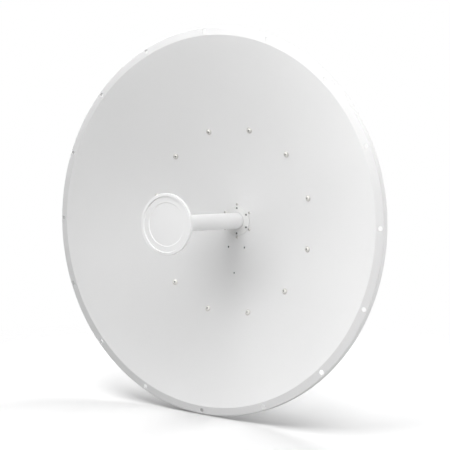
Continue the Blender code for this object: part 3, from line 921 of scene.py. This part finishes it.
# %% Turn the pressed ring
RING_INNER_RADIUS = 0.218
RING_WALL_RADIUS = 0.248
RING_OUTER_RADIUS = 0.278
PLATE_REACH = 0.118
GAP = 0.0003
FACET_SLACK = 0.0002
RING_STEPS = 192
SEAT_BEND_FRONT = 1.6 * RING_SHEET
SEAT_BEND_REAR = 0.6 * RING_SHEET
BEND_ARCS = 5


def ring_seat(radius):
    """Reach of the bowl's rear surface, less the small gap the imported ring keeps."""
    return bowl_reach(radius) - SHEET / math.cos(bowl_slope(radius)) - GAP - FACET_SLACK


ring_drop = RING_SHEET / math.cos(bowl_slope((RING_WALL_RADIUS + RING_OUTER_RADIUS) / 2))
wall_inside = RING_WALL_RADIUS - RING_SHEET
ring_rear = PLATE_REACH + GAP
ring = on_axis(rounded([
    (wall_inside, ring_seat(wall_inside), SEAT_BEND_FRONT),
    (RING_OUTER_RADIUS, ring_seat(RING_OUTER_RADIUS), CUT_EDGE),
    (RING_OUTER_RADIUS, ring_seat(RING_OUTER_RADIUS) - ring_drop, CUT_EDGE),
    (RING_WALL_RADIUS, ring_seat(RING_WALL_RADIUS) - ring_drop, SEAT_BEND_REAR),
    (RING_WALL_RADIUS, ring_rear, RING_SHEET * 2),
    (RING_INNER_RADIUS, ring_rear, CUT_EDGE),
    (RING_INNER_RADIUS, ring_rear + RING_SHEET, CUT_EDGE),
    (wall_inside, ring_rear + RING_SHEET, RING_SHEET),
], BEND_ARCS), RING_STEPS, closed=True)
add_piece("pressed_ring", ring, galvanised, ["support_ring"])

# %% [markdown]
# ## Plates
# The cross plate, the cheeks and the bracket are laser-cut and folded sheet. Each starts as an
# outline that is extruded, then drilled. Corners in the outline are rounded, since a laser cuts
# them so. The edges could be rounded one by one, but a bevel modifier finds them all by their
# angle, those of the holes too, and takes the sharpness off them as tumbling does.

# %% Helpers for plates
PLATE_BEVEL = 0.0004
BEVEL_ANGLE = math.radians(40)
BEVEL_SEGMENTS = 2


def between(lower_loop, upper_loop):
    """A solid between two closed loops of as many points."""
    shape = bmesh.new()
    lower = [shape.verts.new(point) for point in lower_loop]
    upper = [shape.verts.new(point) for point in upper_loop]
    shape.faces.new(lower)
    shape.faces.new(upper)
    for i in range(len(lower)):
        j = (i + 1) % len(lower)
        shape.faces.new((lower[i], lower[j], upper[j], upper[i]))
    bmesh.ops.recalc_face_normals(shape, faces=shape.faces)
    return shape


def extruded(outline, low, high):
    """A solid from a closed outline of (x, y) points, between two heights on Z."""
    return between([(x, y, low) for x, y in outline], [(x, y, high) for x, y in outline])


def soften(piece):
    """Bevels a piece's real edges, ahead of its weighted normals."""
    bevel = piece.modifiers.new("soft edges", "BEVEL")
    bevel.width = PLATE_BEVEL
    bevel.segments = BEVEL_SEGMENTS
    bevel.limit_method = "ANGLE"
    bevel.angle_limit = BEVEL_ANGLE
    piece.modifiers.move(len(piece.modifiers) - 1, 0)
    for edge in piece.data.edges:
        edge.use_edge_sharp = False


print("plate bevel, mm:", 1000 * PLATE_BEVEL)

# %% [markdown]
# ## The cross plate
# A square plate with four arms spans the ring and carries everything behind it. Two bolts hold
# each arm to the ring's rear flange. It could be a square and two bars joined by a Boolean, but
# an outline can round the corners between them too. Only a quarter of it is written, and turned
# four times.

# %% Cut the cross plate
PLATE_THICKNESS = 0.004
PLATE_HALF = 0.115
ARM_HALF = 0.035
ARM_LENGTH = 0.246
NECK_HOLE_RADIUS = 0.0297
ARM_BOLT_REACH = 0.2315
ARM_BOLT_OFFSET = 0.020
ARM_TIP_RADIUS = 0.006
ARM_ROOT_RADIUS = 0.008
PLATE_CORNER_RADIUS = 0.012
NECK_HOLE_STEPS = 96

arm_bolts = []
for turn in range(4):
    swing = Matrix.Rotation(math.pi / 2 * turn, 2)
    arm_bolts += [tuple(swing @ Vector((side * ARM_BOLT_OFFSET, ARM_BOLT_REACH)))
                  for side in (-1, 1)]
quarter = [(ARM_HALF, ARM_LENGTH, ARM_TIP_RADIUS), (ARM_HALF, PLATE_HALF, ARM_ROOT_RADIUS),
           (PLATE_HALF, PLATE_HALF, PLATE_CORNER_RADIUS),
           (PLATE_HALF, ARM_HALF, ARM_ROOT_RADIUS), (ARM_LENGTH, ARM_HALF, ARM_TIP_RADIUS)]
corners = []
for turn in range(4):
    swing = Matrix.Rotation(-math.pi / 2 * turn, 2)
    corners += [(*(swing @ Vector((x, z))), radius) for x, z, radius in quarter]
plate = extruded(rounded(corners), PLATE_REACH - PLATE_THICKNESS, PLATE_REACH)
bmesh.ops.transform(plate, matrix=FACE_FRONT, verts=plate.verts)
neck_run = (spot(0, 0, PLATE_REACH - PAST), spot(0, 0, PLATE_REACH + PAST), NECK_HOLE_RADIUS)
plate = cut(plate, rods([neck_run], NECK_HOLE_STEPS))
soften(add_piece("cross_plate", plate, galvanised, ["back_plate"]))

# %% [markdown]
# ## The tilt slot
# The bracket behind the dish turns on two bolts at the bottom, and one bolt on each side, in a
# curved slot at the top, locks the tilt. A row of drilled holes would leave the slot's sides
# wavy, so its cutter follows an arc round the pivot, with a half circle at each end.

# %% Helpers for the tilt joint
PIVOT_REACH = 0.038
PIVOT_Z = -0.070
SLOT_RADIUS = 0.140
SLOT_ANGLE = math.radians(10)
M10_HOLE_RADIUS = 0.0057
SLOT_STEPS = 12


def slot_spot(angle, radius=SLOT_RADIUS):
    """(reach, z) of a point on the tilt slot's arc, angle 0 straight above the pivot."""
    return PIVOT_REACH + radius * math.sin(angle), PIVOT_Z + radius * math.cos(angle)


def slot_tool(low, high):
    """Cutter for the curved tilt slot, with round ends."""
    sweep = [SLOT_ANGLE * (i / SLOT_STEPS - 1) for i in range(2 * SLOT_STEPS + 1)]
    bow = [math.pi * i / SLOT_STEPS for i in range(1, SLOT_STEPS)]
    loop = []
    for turn in (1, -1):
        loop += [slot_spot(angle, SLOT_RADIUS + turn * M10_HOLE_RADIUS) for angle in sweep[::turn]]
        end = SLOT_ANGLE * turn
        reach, z = slot_spot(end)
        for b in bow:
            along, out = M10_HOLE_RADIUS * math.sin(b) * turn, M10_HOLE_RADIUS * math.cos(b) * turn
            loop.append((reach + out * math.sin(end) + along * math.cos(end),
                         z + out * math.cos(end) - along * math.sin(end)))
    return between([(low, -reach, z) for reach, z in loop],
                   [(high, -reach, z) for reach, z in loop])


print("slot length, mm:", round(1000 * 2 * SLOT_ANGLE * SLOT_RADIUS, 1))

# %% [markdown]
# ## The cheeks
# Two angle plates stand on the cross plate and hold the pole bracket between them. Two boxes
# could make an angle, but folded sheet has a smooth bend, so the section is drawn folded, with
# its inner and outer radius. Then the free corners are rounded, and the pivot hole and the slot
# are cut.

# %% Fold the cheeks
CHEEK_X = 0.070
CHEEK_THICKNESS = 0.005
CHEEK_FLANGE = 0.035
CHEEK_HALF_HEIGHT = 0.110
CHEEK_BACK_REACH = 0.012
OUTER_BEND = 0.008
INNER_BEND = 0.003
CORNER_RADIUS = 0.008
CORNER_ARCS = 6


def round_off(shape, radius, chosen):
    """Rounds the straight edges that a test picks by their two ends."""
    edges = [edge for edge in shape.edges if chosen(*[v.co for v in edge.verts])]
    bmesh.ops.bevel(shape, geom=edges, offset=radius, segments=CORNER_ARCS, profile=0.5,
                    affect="EDGES")


def make_cheek(name, side, node):
    """Angle plate on one side, with its pivot hole and tilt slot."""
    front = PLATE_REACH - PLATE_THICKNESS - GAP
    outside = CHEEK_X + CHEEK_THICKNESS
    tip = CHEEK_X + CHEEK_FLANGE
    section = rounded([
        (CHEEK_X, -CHEEK_BACK_REACH, 0), (CHEEK_X, -front, OUTER_BEND), (tip, -front, 0),
        (tip, CHEEK_THICKNESS - front, 0), (outside, CHEEK_THICKNESS - front, INNER_BEND),
        (outside, -CHEEK_BACK_REACH, 0),
    ], CORNER_ARCS)
    cheek = extruded([(side * x, y) for x, y in section], -CHEEK_HALF_HEIGHT, CHEEK_HALF_HEIGHT)

    def free_corner(a, b):
        """True for the edges at the corners of the plate's free ends."""
        tall = CHEEK_HALF_HEIGHT - abs(a.z) < PLATE_BEVEL and abs(a.z - b.z) < PLATE_BEVEL
        at_back = max(a.y, b.y) > -CHEEK_BACK_REACH - PLATE_BEVEL and abs(a.y - b.y) < PLATE_BEVEL
        at_tip = min(abs(a.x), abs(b.x)) > tip - PLATE_BEVEL
        return tall and (at_back or at_tip)

    round_off(cheek, CORNER_RADIUS, free_corner)
    low, high = side * (CHEEK_X - PAST), side * (outside + PAST)
    pivot_hole = ((low, -PIVOT_REACH, PIVOT_Z), (high, -PIVOT_REACH, PIVOT_Z), M10_HOLE_RADIUS)
    cheek = cut(cut(cheek, rods([pivot_hole])), slot_tool(low, high))
    soften(add_piece(name, cheek, galvanised, [node]))


for name, side in (("left", -1), ("right", 1)):
    make_cheek(f"cheek_plate_{name}", side, f"cheek_{name}")

# %% [markdown]
# ## The pole bracket
# A folded channel between the cheeks, made the same way. Its corners are rounded before its holes
# are cut, while there are few edges to pick from. Four holes in its flat rear take the pole
# clamps, and two pairs in its sides take the bolts of the tilt joint.

# %% Fold the bracket
CHANNEL_HALF_HEIGHT = 0.100
CHANNEL_THICKNESS = 0.005
CHANNEL_DEPTH = 0.062
CLAMP_HOLE_X = 0.045
CLAMP_HOLE_Z = 0.075
CLAMP_HOLE_RADIUS = 0.0055

half = CHEEK_X - GAP
wall = CHANNEL_THICKNESS
channel = extruded(rounded([
    (-half, 0, OUTER_BEND), (half, 0, OUTER_BEND),
    (half, -CHANNEL_DEPTH, 0), (half - wall, -CHANNEL_DEPTH, 0),
    (half - wall, -wall, INNER_BEND), (wall - half, -wall, INNER_BEND),
    (wall - half, -CHANNEL_DEPTH, 0), (-half, -CHANNEL_DEPTH, 0),
], CORNER_ARCS), -CHANNEL_HALF_HEIGHT, CHANNEL_HALF_HEIGHT)


def channel_tip(a, b):
    """True for the edges at the free corners of the channel's two sides."""
    at_front = max(a.y, b.y) < -CHANNEL_DEPTH + PLATE_BEVEL
    return at_front and abs(a.z - b.z) < PLATE_BEVEL and abs(a.x - b.x) < 2 * wall


round_off(channel, CORNER_RADIUS, channel_tip)
clamp_runs = [((x, PAST, z), (x, -wall - PAST, z), CLAMP_HOLE_RADIUS)
              for x in (-CLAMP_HOLE_X, CLAMP_HOLE_X) for z in (-CLAMP_HOLE_Z, CLAMP_HOLE_Z)]
hinge_runs = [((-half - PAST, -reach, z), (half + PAST, -reach, z), M10_HOLE_RADIUS)
              for reach, z in ((PIVOT_REACH, PIVOT_Z), slot_spot(0.0))]
soften(add_piece("bracket_channel", cut(channel, rods(clamp_runs + hinge_runs)), galvanised,
                 ["pole_bracket"]))

# %% [markdown]
# ## Hexagon bolts on the back
# M8 bolts join the arms to the ring and the cheeks to the plate, heads towards the rear where a
# spanner reaches them. Each could be placed by hand. Here a bolt is given by its place and the
# two faces that it clamps, so that its head and its nut always sit on the sheet.

# %% Bolts of the ring and the cheeks
CHEEK_BOLT_X = 0.090
CHEEK_BOLT_Z = (0.045, 0.090)
M8_HEAD = 0.0053
M8_WASHER_RADIUS = 0.008

plate_rear = PLATE_REACH - PLATE_THICKNESS
cheek_rear = plate_rear - GAP - CHEEK_THICKNESS
bolt_stacks = [(x, z, plate_rear, ring_rear + RING_SHEET) for x, z in arm_bolts]
bolt_stacks += [(x * CHEEK_BOLT_X, z * height, cheek_rear, PLATE_REACH)
                for x in (-1, 1) for z in (-1, 1) for height in CHEEK_BOLT_Z]
heads = [facing(spot(x, z, rear), (0, 1, 0)) for x, z, rear, front in bolt_stacks]
nuts = [facing(spot(x, z, front), (0, -1, 0)) for x, z, rear, front in bolt_stacks]
add_piece("back_bolts", copied(
    (disc(M8_WASHER_RADIUS, BOLT_WASHER, WASHER_EDGE), heads + nuts),
    (hexagon(M8_FLAT, M8_HEAD), raised_by(heads, BOLT_WASHER)),
    (hexagon(M8_FLAT, M8_NUT, chamfer_both=True), raised_by(nuts, BOLT_WASHER)),
    (threaded(M8_RADIUS, 0.0, BOLT_WASHER + M8_NUT + THREAD_SHOWN / 2, M8_PITCH), nuts),
), stainless)

# %% [markdown]
# ## The bolts of the tilt joint
# The four M10 bolts could stay as packed, with plain hexagons and smooth shanks, but they show
# from the side. So they are turned finer: the heads and nuts get their chamfer, and the threads
# their grooves.

# %% Bolts of the tilt joint
M10_RADIUS = 0.005
M10_FLAT = 0.0082
M10_HEAD = 0.0065
M10_NUT = 0.008
M10_PITCH = 0.0015
M10_WASHER_RADIUS = 0.0105
M10_WASHER = 0.002
M10_THREAD_SHOWN = 0.004

head_seat = CHEEK_X + CHEEK_THICKNESS + GAP
nut_seat = CHEEK_X - CHANNEL_THICKNESS - 2 * GAP
thread_end = nut_seat - M10_NUT - M10_THREAD_SHOWN
hinges = [("pivot", PIVOT_REACH, PIVOT_Z), ("lock", *slot_spot(0.0))]
for side_name, side in (("left", -1), ("right", 1)):
    for label, reach, z in hinges:
        outward = (side, 0, 0)
        seat = facing((side * head_seat, -reach, z), outward)
        head = facing((side * (head_seat + M10_WASHER), -reach, z), outward)
        nut = facing((side * (nut_seat - M10_NUT), -reach, z), outward)
        shank = facing((0, -reach, z), outward)
        add_piece(f"{label}_bolt_{side_name}_fine", copied(
            (disc(M10_WASHER_RADIUS, M10_WASHER, WASHER_EDGE), [seat]),
            (hexagon(M10_FLAT, M10_HEAD), [head]),
            (hexagon(M10_FLAT, M10_NUT, chamfer_both=True), [nut]),
            (threaded(M10_RADIUS, thread_end, head_seat + M10_WASHER, M10_PITCH), [shank]),
        ), stainless, [f"{label}_bolt_{side_name}"])

# %% [markdown]
# ## The feed's housing
# Behind the plate a cast box holds the waveguide's end. It has a lid with a screw at each corner.
# A line could be drawn where the two parts meet. Two blocks with a seam between them give a real
# shadow there, and a smaller block inside closes the view through it.

# %% Housing, lid and screws
CAST_ROUNDING = 0.004
LID_ROUNDING = 0.003
ROUNDING_SEGMENTS = 5
LID_THICKNESS = 0.009
LID_SEAM = 0.0006
LID_SCREW = 0.037
LID_SCREW_RADIUS = 0.0035
LID_SCREW_HEIGHT = 0.0022
LID_SOCKET_FLAT = 0.00125
LID_SOCKET_DEPTH = 0.0013


def soft_block(low, high, radius):
    """A block between two corners with rounded edges."""
    shape = bmesh.new()
    bmesh.ops.create_cube(shape, size=1.0)
    bmesh.ops.scale(shape, vec=high - low, verts=shape.verts)
    bmesh.ops.translate(shape, vec=(high + low) / 2, verts=shape.verts)
    bmesh.ops.bevel(shape, geom=shape.edges, offset=radius, segments=ROUNDING_SEGMENTS,
                    profile=0.5, affect="EDGES")
    return shape


housing_low, housing_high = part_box("feed_housing")
seam = housing_high.y - LID_THICKNESS
body_high = Vector((housing_high.x, seam - LID_SEAM, housing_high.z))
lid_low = Vector((housing_low.x, seam, housing_low.z))
core_inset = Vector((LID_SEAM, LID_THICKNESS / 2, LID_SEAM)) * 2
add_piece("cast_housing", copied(
    (soft_block(housing_low, body_high, CAST_ROUNDING), [Matrix()]),
    (soft_block(lid_low, housing_high, LID_ROUNDING), [Matrix()]),
    (soft_block(housing_low + core_inset, housing_high - core_inset, LID_SEAM), [Matrix()]),
), cast, ["feed_housing"])
lid_spots = [facing((x, housing_high.y, z), (0, 1, 0))
             for x in (-LID_SCREW, LID_SCREW) for z in (-LID_SCREW, LID_SCREW)]
add_piece("lid_screws", copied(
    (button_head(LID_SCREW_RADIUS, LID_SCREW_HEIGHT, LID_SOCKET_FLAT, LID_SOCKET_DEPTH), lid_spots),
), stainless)

# %% [markdown]
# ## The coaxial ports
# Two threaded ports in the housing's underside take the radio's cables. Sleeve, insulator and
# contact could be pieces of their own, but they share one axis, so one turned section does for
# all: the bore with its contact and its insulator, the thread, a collar and a round base.

# %% Coaxial ports
PORT_BORE = 0.0062
PORT_WALL = 0.0079
PORT_PITCH = 0.0011
INSULATOR_RADIUS = 0.0036
CONTACT_RADIUS = 0.0016
CONTACT_BORE = 0.0008
CONTACT_SET_BACK = 0.005
SOCKET_FLOOR = 0.010
INSULATOR_TOP = 0.012
MOUTH_CHAMFER = 0.0004
THREAD_CHAMFER = 0.0006
THREAD_TURNS = 11
THREAD_RUN_OUT = 0.0009
COLLAR_LOW = 0.003
COLLAR_HIGH = 0.0055
COLLAR_TOP = 0.0062
COLLAR_WIDER = 0.001
BASE_EDGE = 0.0003
PORT_STEPS = 64


def make_port(name, node):
    """Threaded sleeve round a centre contact, pointing down. Heights start at the housing."""
    low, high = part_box(node)
    radius = (high.x - low.x) / 2
    length = high.z - low.z
    contact_tip = length - CONTACT_SET_BACK
    section = [(0, SOCKET_FLOOR), (CONTACT_BORE, SOCKET_FLOOR), (CONTACT_BORE, contact_tip),
               (CONTACT_RADIUS, contact_tip), (CONTACT_RADIUS, INSULATOR_TOP),
               (INSULATOR_RADIUS, INSULATOR_TOP), (INSULATOR_RADIUS, SOCKET_FLOOR),
               (PORT_BORE, SOCKET_FLOOR), (PORT_BORE, length - MOUTH_CHAMFER),
               (PORT_BORE + MOUTH_CHAMFER, length), (PORT_WALL - THREAD_CHAMFER, length)]
    for i in range(THREAD_TURNS):
        base = length - THREAD_CHAMFER - i * PORT_PITCH
        section += [(PORT_WALL, base), (PORT_WALL, base - PORT_PITCH / 4),
                    (PORT_WALL - PORT_PITCH / 2, base - PORT_PITCH / 2)]
    section += [(PORT_WALL - THREAD_RUN_OUT, COLLAR_TOP), (PORT_WALL + COLLAR_WIDER, COLLAR_HIGH),
                (PORT_WALL + COLLAR_WIDER, COLLAR_LOW), (radius - BASE_EDGE, COLLAR_LOW),
                (radius, COLLAR_LOW - BASE_EDGE), (radius, BASE_EDGE),
                (radius - BASE_EDGE, 0), (0, 0)]
    centre = Vector(((low.x + high.x) / 2, (low.y + high.y) / 2, high.z))
    add_piece(name, copied((turned(section, PORT_STEPS), [facing(centre, (0, 0, -1))])),
              nickel, [node])


for side_name in ("left", "right"):
    make_port(f"coaxial_port_{side_name}", f"rf_connector_{side_name}")

# %% [markdown]
# ## Nodes that stay as packed
# The spacer, the bushes and the neck are plain turned shapes that mostly hide between the dish
# and the plate. They could be turned again like the rest, but their packed form is right, so they
# only get their finish.

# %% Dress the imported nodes
KEPT_NODES = {
    "hub_spacer": galvanised,
    "bush_lower_left": galvanised,
    "bush_lower_right": galvanised,
    "bush_bottom": galvanised,
    "feed_neck": cast,
}
for name, finish in KEPT_NODES.items():
    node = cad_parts[name]
    node.data.materials.clear()
    node.data.materials.append(finish)
print("dressed:", ", ".join(KEPT_NODES))

# %% [markdown]
# ## The floor
# A round white sheet lies under the rim. A plane to the horizon would end in a visible line, so
# this one thins out to clear towards its edge. It throws no light back up and casts no shadow,
# because softboxes below it give the light from underneath. Its paint has the soft waves that a
# roller leaves, about 4 mm wide.

# %% Lay the floor
FLOOR_RADIUS = 1.6
FLOOR_STEPS = 96
FLOOR_SOLID = 0.75
FLOOR_WHITE = "#F5F5F5"
ROLLER_SIZE = 4
ROLLER_HEIGHT = 0.00002

floor_paint, tree, shader, metres = new_finish("matt white floor paint", FLOOR_WHITE, Roughness=0.8)
roller = add_node(tree, "ShaderNodeTexNoise",
                  {"Scale": per_millimetres(ROLLER_SIZE), "Detail": 1.0}, {"Vector": metres})
add_node(tree, "ShaderNodeBump", {"Distance": ROLLER_HEIGHT}, {"Height": roller.outputs["Fac"]},
         {"Normal": shader.inputs["Normal"]})
away = add_node(tree, "ShaderNodeVectorMath", {"operation": "LENGTH"}, {"Vector": metres})
add_node(tree, "ShaderNodeMapRange", {
    "interpolation_type": "SMOOTHSTEP", "From Min": FLOOR_SOLID, "From Max": FLOOR_RADIUS,
    "To Min": 1.0, "To Max": 0.0},
    {"Value": away.outputs["Value"]}, {"Result": shader.inputs["Alpha"]})

sheet = bmesh.new()
bmesh.ops.create_circle(sheet, cap_ends=True, segments=FLOOR_STEPS, radius=FLOOR_RADIUS)
floor_mesh = bpy.data.meshes.new("studio_floor")
sheet.to_mesh(floor_mesh)
sheet.free()
floor_mesh.materials.append(floor_paint)
studio_floor = bpy.data.objects.new("studio_floor", floor_mesh)
studio_floor.location = (0, cad_low.y / 2, cad_low.z)
studio_floor.visible_diffuse = False
studio_floor.visible_glossy = False
studio_floor.visible_shadow = False
bpy.context.scene.collection.objects.link(studio_floor)
print("floor at z", round(cad_low.z, 4))

# %% [markdown]
# ## The surround
# All around is white to the camera, as in a catalogue photograph. A plain white world would also
# light the dish evenly from all sides, which leaves it flat. So the world answers each kind of
# ray in its own way. Mirrored in metal it is white above and greyer below, which gives each bolt
# head a bright top and a grey underside. Matt surfaces get little light from it, so that the
# softboxes can shape the dish.

# %% White surround
SURROUND_WHITE = "#FFFFFF"
SURROUND_LIGHT = 0.10
LOW_SHINE = 0.5
LOWEST = -0.7
LEVEL = 0.1

world = bpy.data.worlds.new("white surround")
world.use_nodes = True
bpy.context.scene.world = world
tree = world.node_tree
surround = tree.nodes["Background"]
surround.inputs["Color"].default_value = linear(SURROUND_WHITE)
seen = add_node(tree, "ShaderNodeLightPath")
where = add_node(tree, "ShaderNodeTexCoord")
height = add_node(tree, "ShaderNodeSeparateXYZ", None, {"Vector": where.outputs["Generated"]})
mirrored = add_node(tree, "ShaderNodeMapRange", {
    "interpolation_type": "SMOOTHSTEP", "From Min": LOWEST, "From Max": LEVEL,
    "To Min": LOW_SHINE, "To Max": 1.0}, {"Value": height.outputs["Z"]})
matt = add_node(tree, "ShaderNodeMix", {"A": SURROUND_LIGHT}, {
    "Factor": seen.outputs["Is Glossy Ray"], "B": mirrored.outputs["Result"]})
add_node(tree, "ShaderNodeMix", {"B": 1.0}, {
    "Factor": seen.outputs["Is Camera Ray"], "A": matt.outputs["Result"]},
    {"Result": surround.inputs["Strength"]})
bpy.context.scene.view_settings.view_transform = "Standard"
print(world.name, "with", len(tree.nodes), "nodes")

# %% [markdown]
# ## The lights
# Softboxes round the dish, each given by its direction seen from the bowl's middle. Azimuth 0 is
# straight in front of the dish and grows towards the camera's side. The keys stand close to the
# upper right of the rim, which lets the flange fall from white there to grey at the lower left.
# The one overhead draws the feed's shadow down the bowl. The low ones stand below the floor's
# sheet, in place of the light that a white floor throws up. The ones at the sides and the rear
# light the turned-back lip and the mount. The two on the left are large and far off, so that
# the flange's near side gets little more than its far one. These all leave the floor out. It
# has a light of its own right above, a long narrow strip, which draws the soft shadow under the
# rim. The powers were set one by one, until the dish's greys came close to the photograph's.
# Sizes and distances are metres, powers are watts.

# %% Softboxes
LIGHT_CENTRE = Vector((0, -0.25, 0))

floor_only = bpy.data.collections.new("the floor")
floor_only.objects.link(studio_floor)
all_but_floor = bpy.data.collections.new("all but the floor")
all_but_floor.objects.link(studio_floor)
all_but_floor.collection_objects[0].light_linking.link_state = "EXCLUDE"


def softbox(name, azimuth, elevation, distance, width, height, power, lit=all_but_floor):
    """An area light turned towards the bowl's middle, not itself seen by the camera."""
    across, up = math.radians(azimuth), math.radians(elevation)
    direction = Vector((math.sin(across) * math.cos(up), -math.cos(across) * math.cos(up),
                        math.sin(up)))
    light = bpy.data.lights.new(name, "AREA")
    light.shape = "RECTANGLE"
    light.size = width
    light.size_y = height
    light.energy = power
    lamp = bpy.data.objects.new(name, light)
    lamp.location = LIGHT_CENTRE + direction * distance
    lamp.rotation_mode = "QUATERNION"
    lamp.rotation_quaternion = (-direction).to_track_quat("-Z", "Y")
    lamp.visible_camera = False
    lamp.light_linking.receiver_collection = lit
    bpy.context.scene.collection.objects.link(lamp)


softbox("front", 0, 20, 1.3, 0.6, 0.6, 4.9)
softbox("key", 20, 45, 1.2, 0.5, 0.5, 3.0)
softbox("right key", 50, 35, 1.1, 0.4, 0.4, 1.8)
softbox("overhead", -5, 65, 2.0, 0.5, 0.5, 2.7)
softbox("upper left", -60, 70, 1.8, 1.2, 1.2, 5.8)
softbox("low right", 60, -30, 1.2, 0.9, 0.9, 2.8)
softbox("low front", 20, -40, 1.2, 0.9, 0.9, 1.4)
softbox("left front", -60, 35, 2.6, 1.2, 1.2, 2.7)
softbox("left", -90, 0, 4.8, 4.0, 4.0, 108)
softbox("left above", -90, 40, 4.4, 2.4, 2.4, 83)
softbox("right rear", 110, 40, 2.4, 1.4, 1.4, 24)
softbox("left rear", -150, 30, 2.4, 1.4, 1.4, 17.2)
softbox("low right rear", 115, -15, 2.4, 1.4, 1.4, 11.5)
softbox("floor light", 0, 90, 2.4, 0.6, 4.6, 155, lit=floor_only)

# %% [markdown]
# ## The triangles
# The added pieces' triangles are counted, in all and in the largest piece.

# %% Count the triangles
print("triangles of the added pieces:", sum(triangle_count.values()))
print("most in one piece:", max(triangle_count.values()))
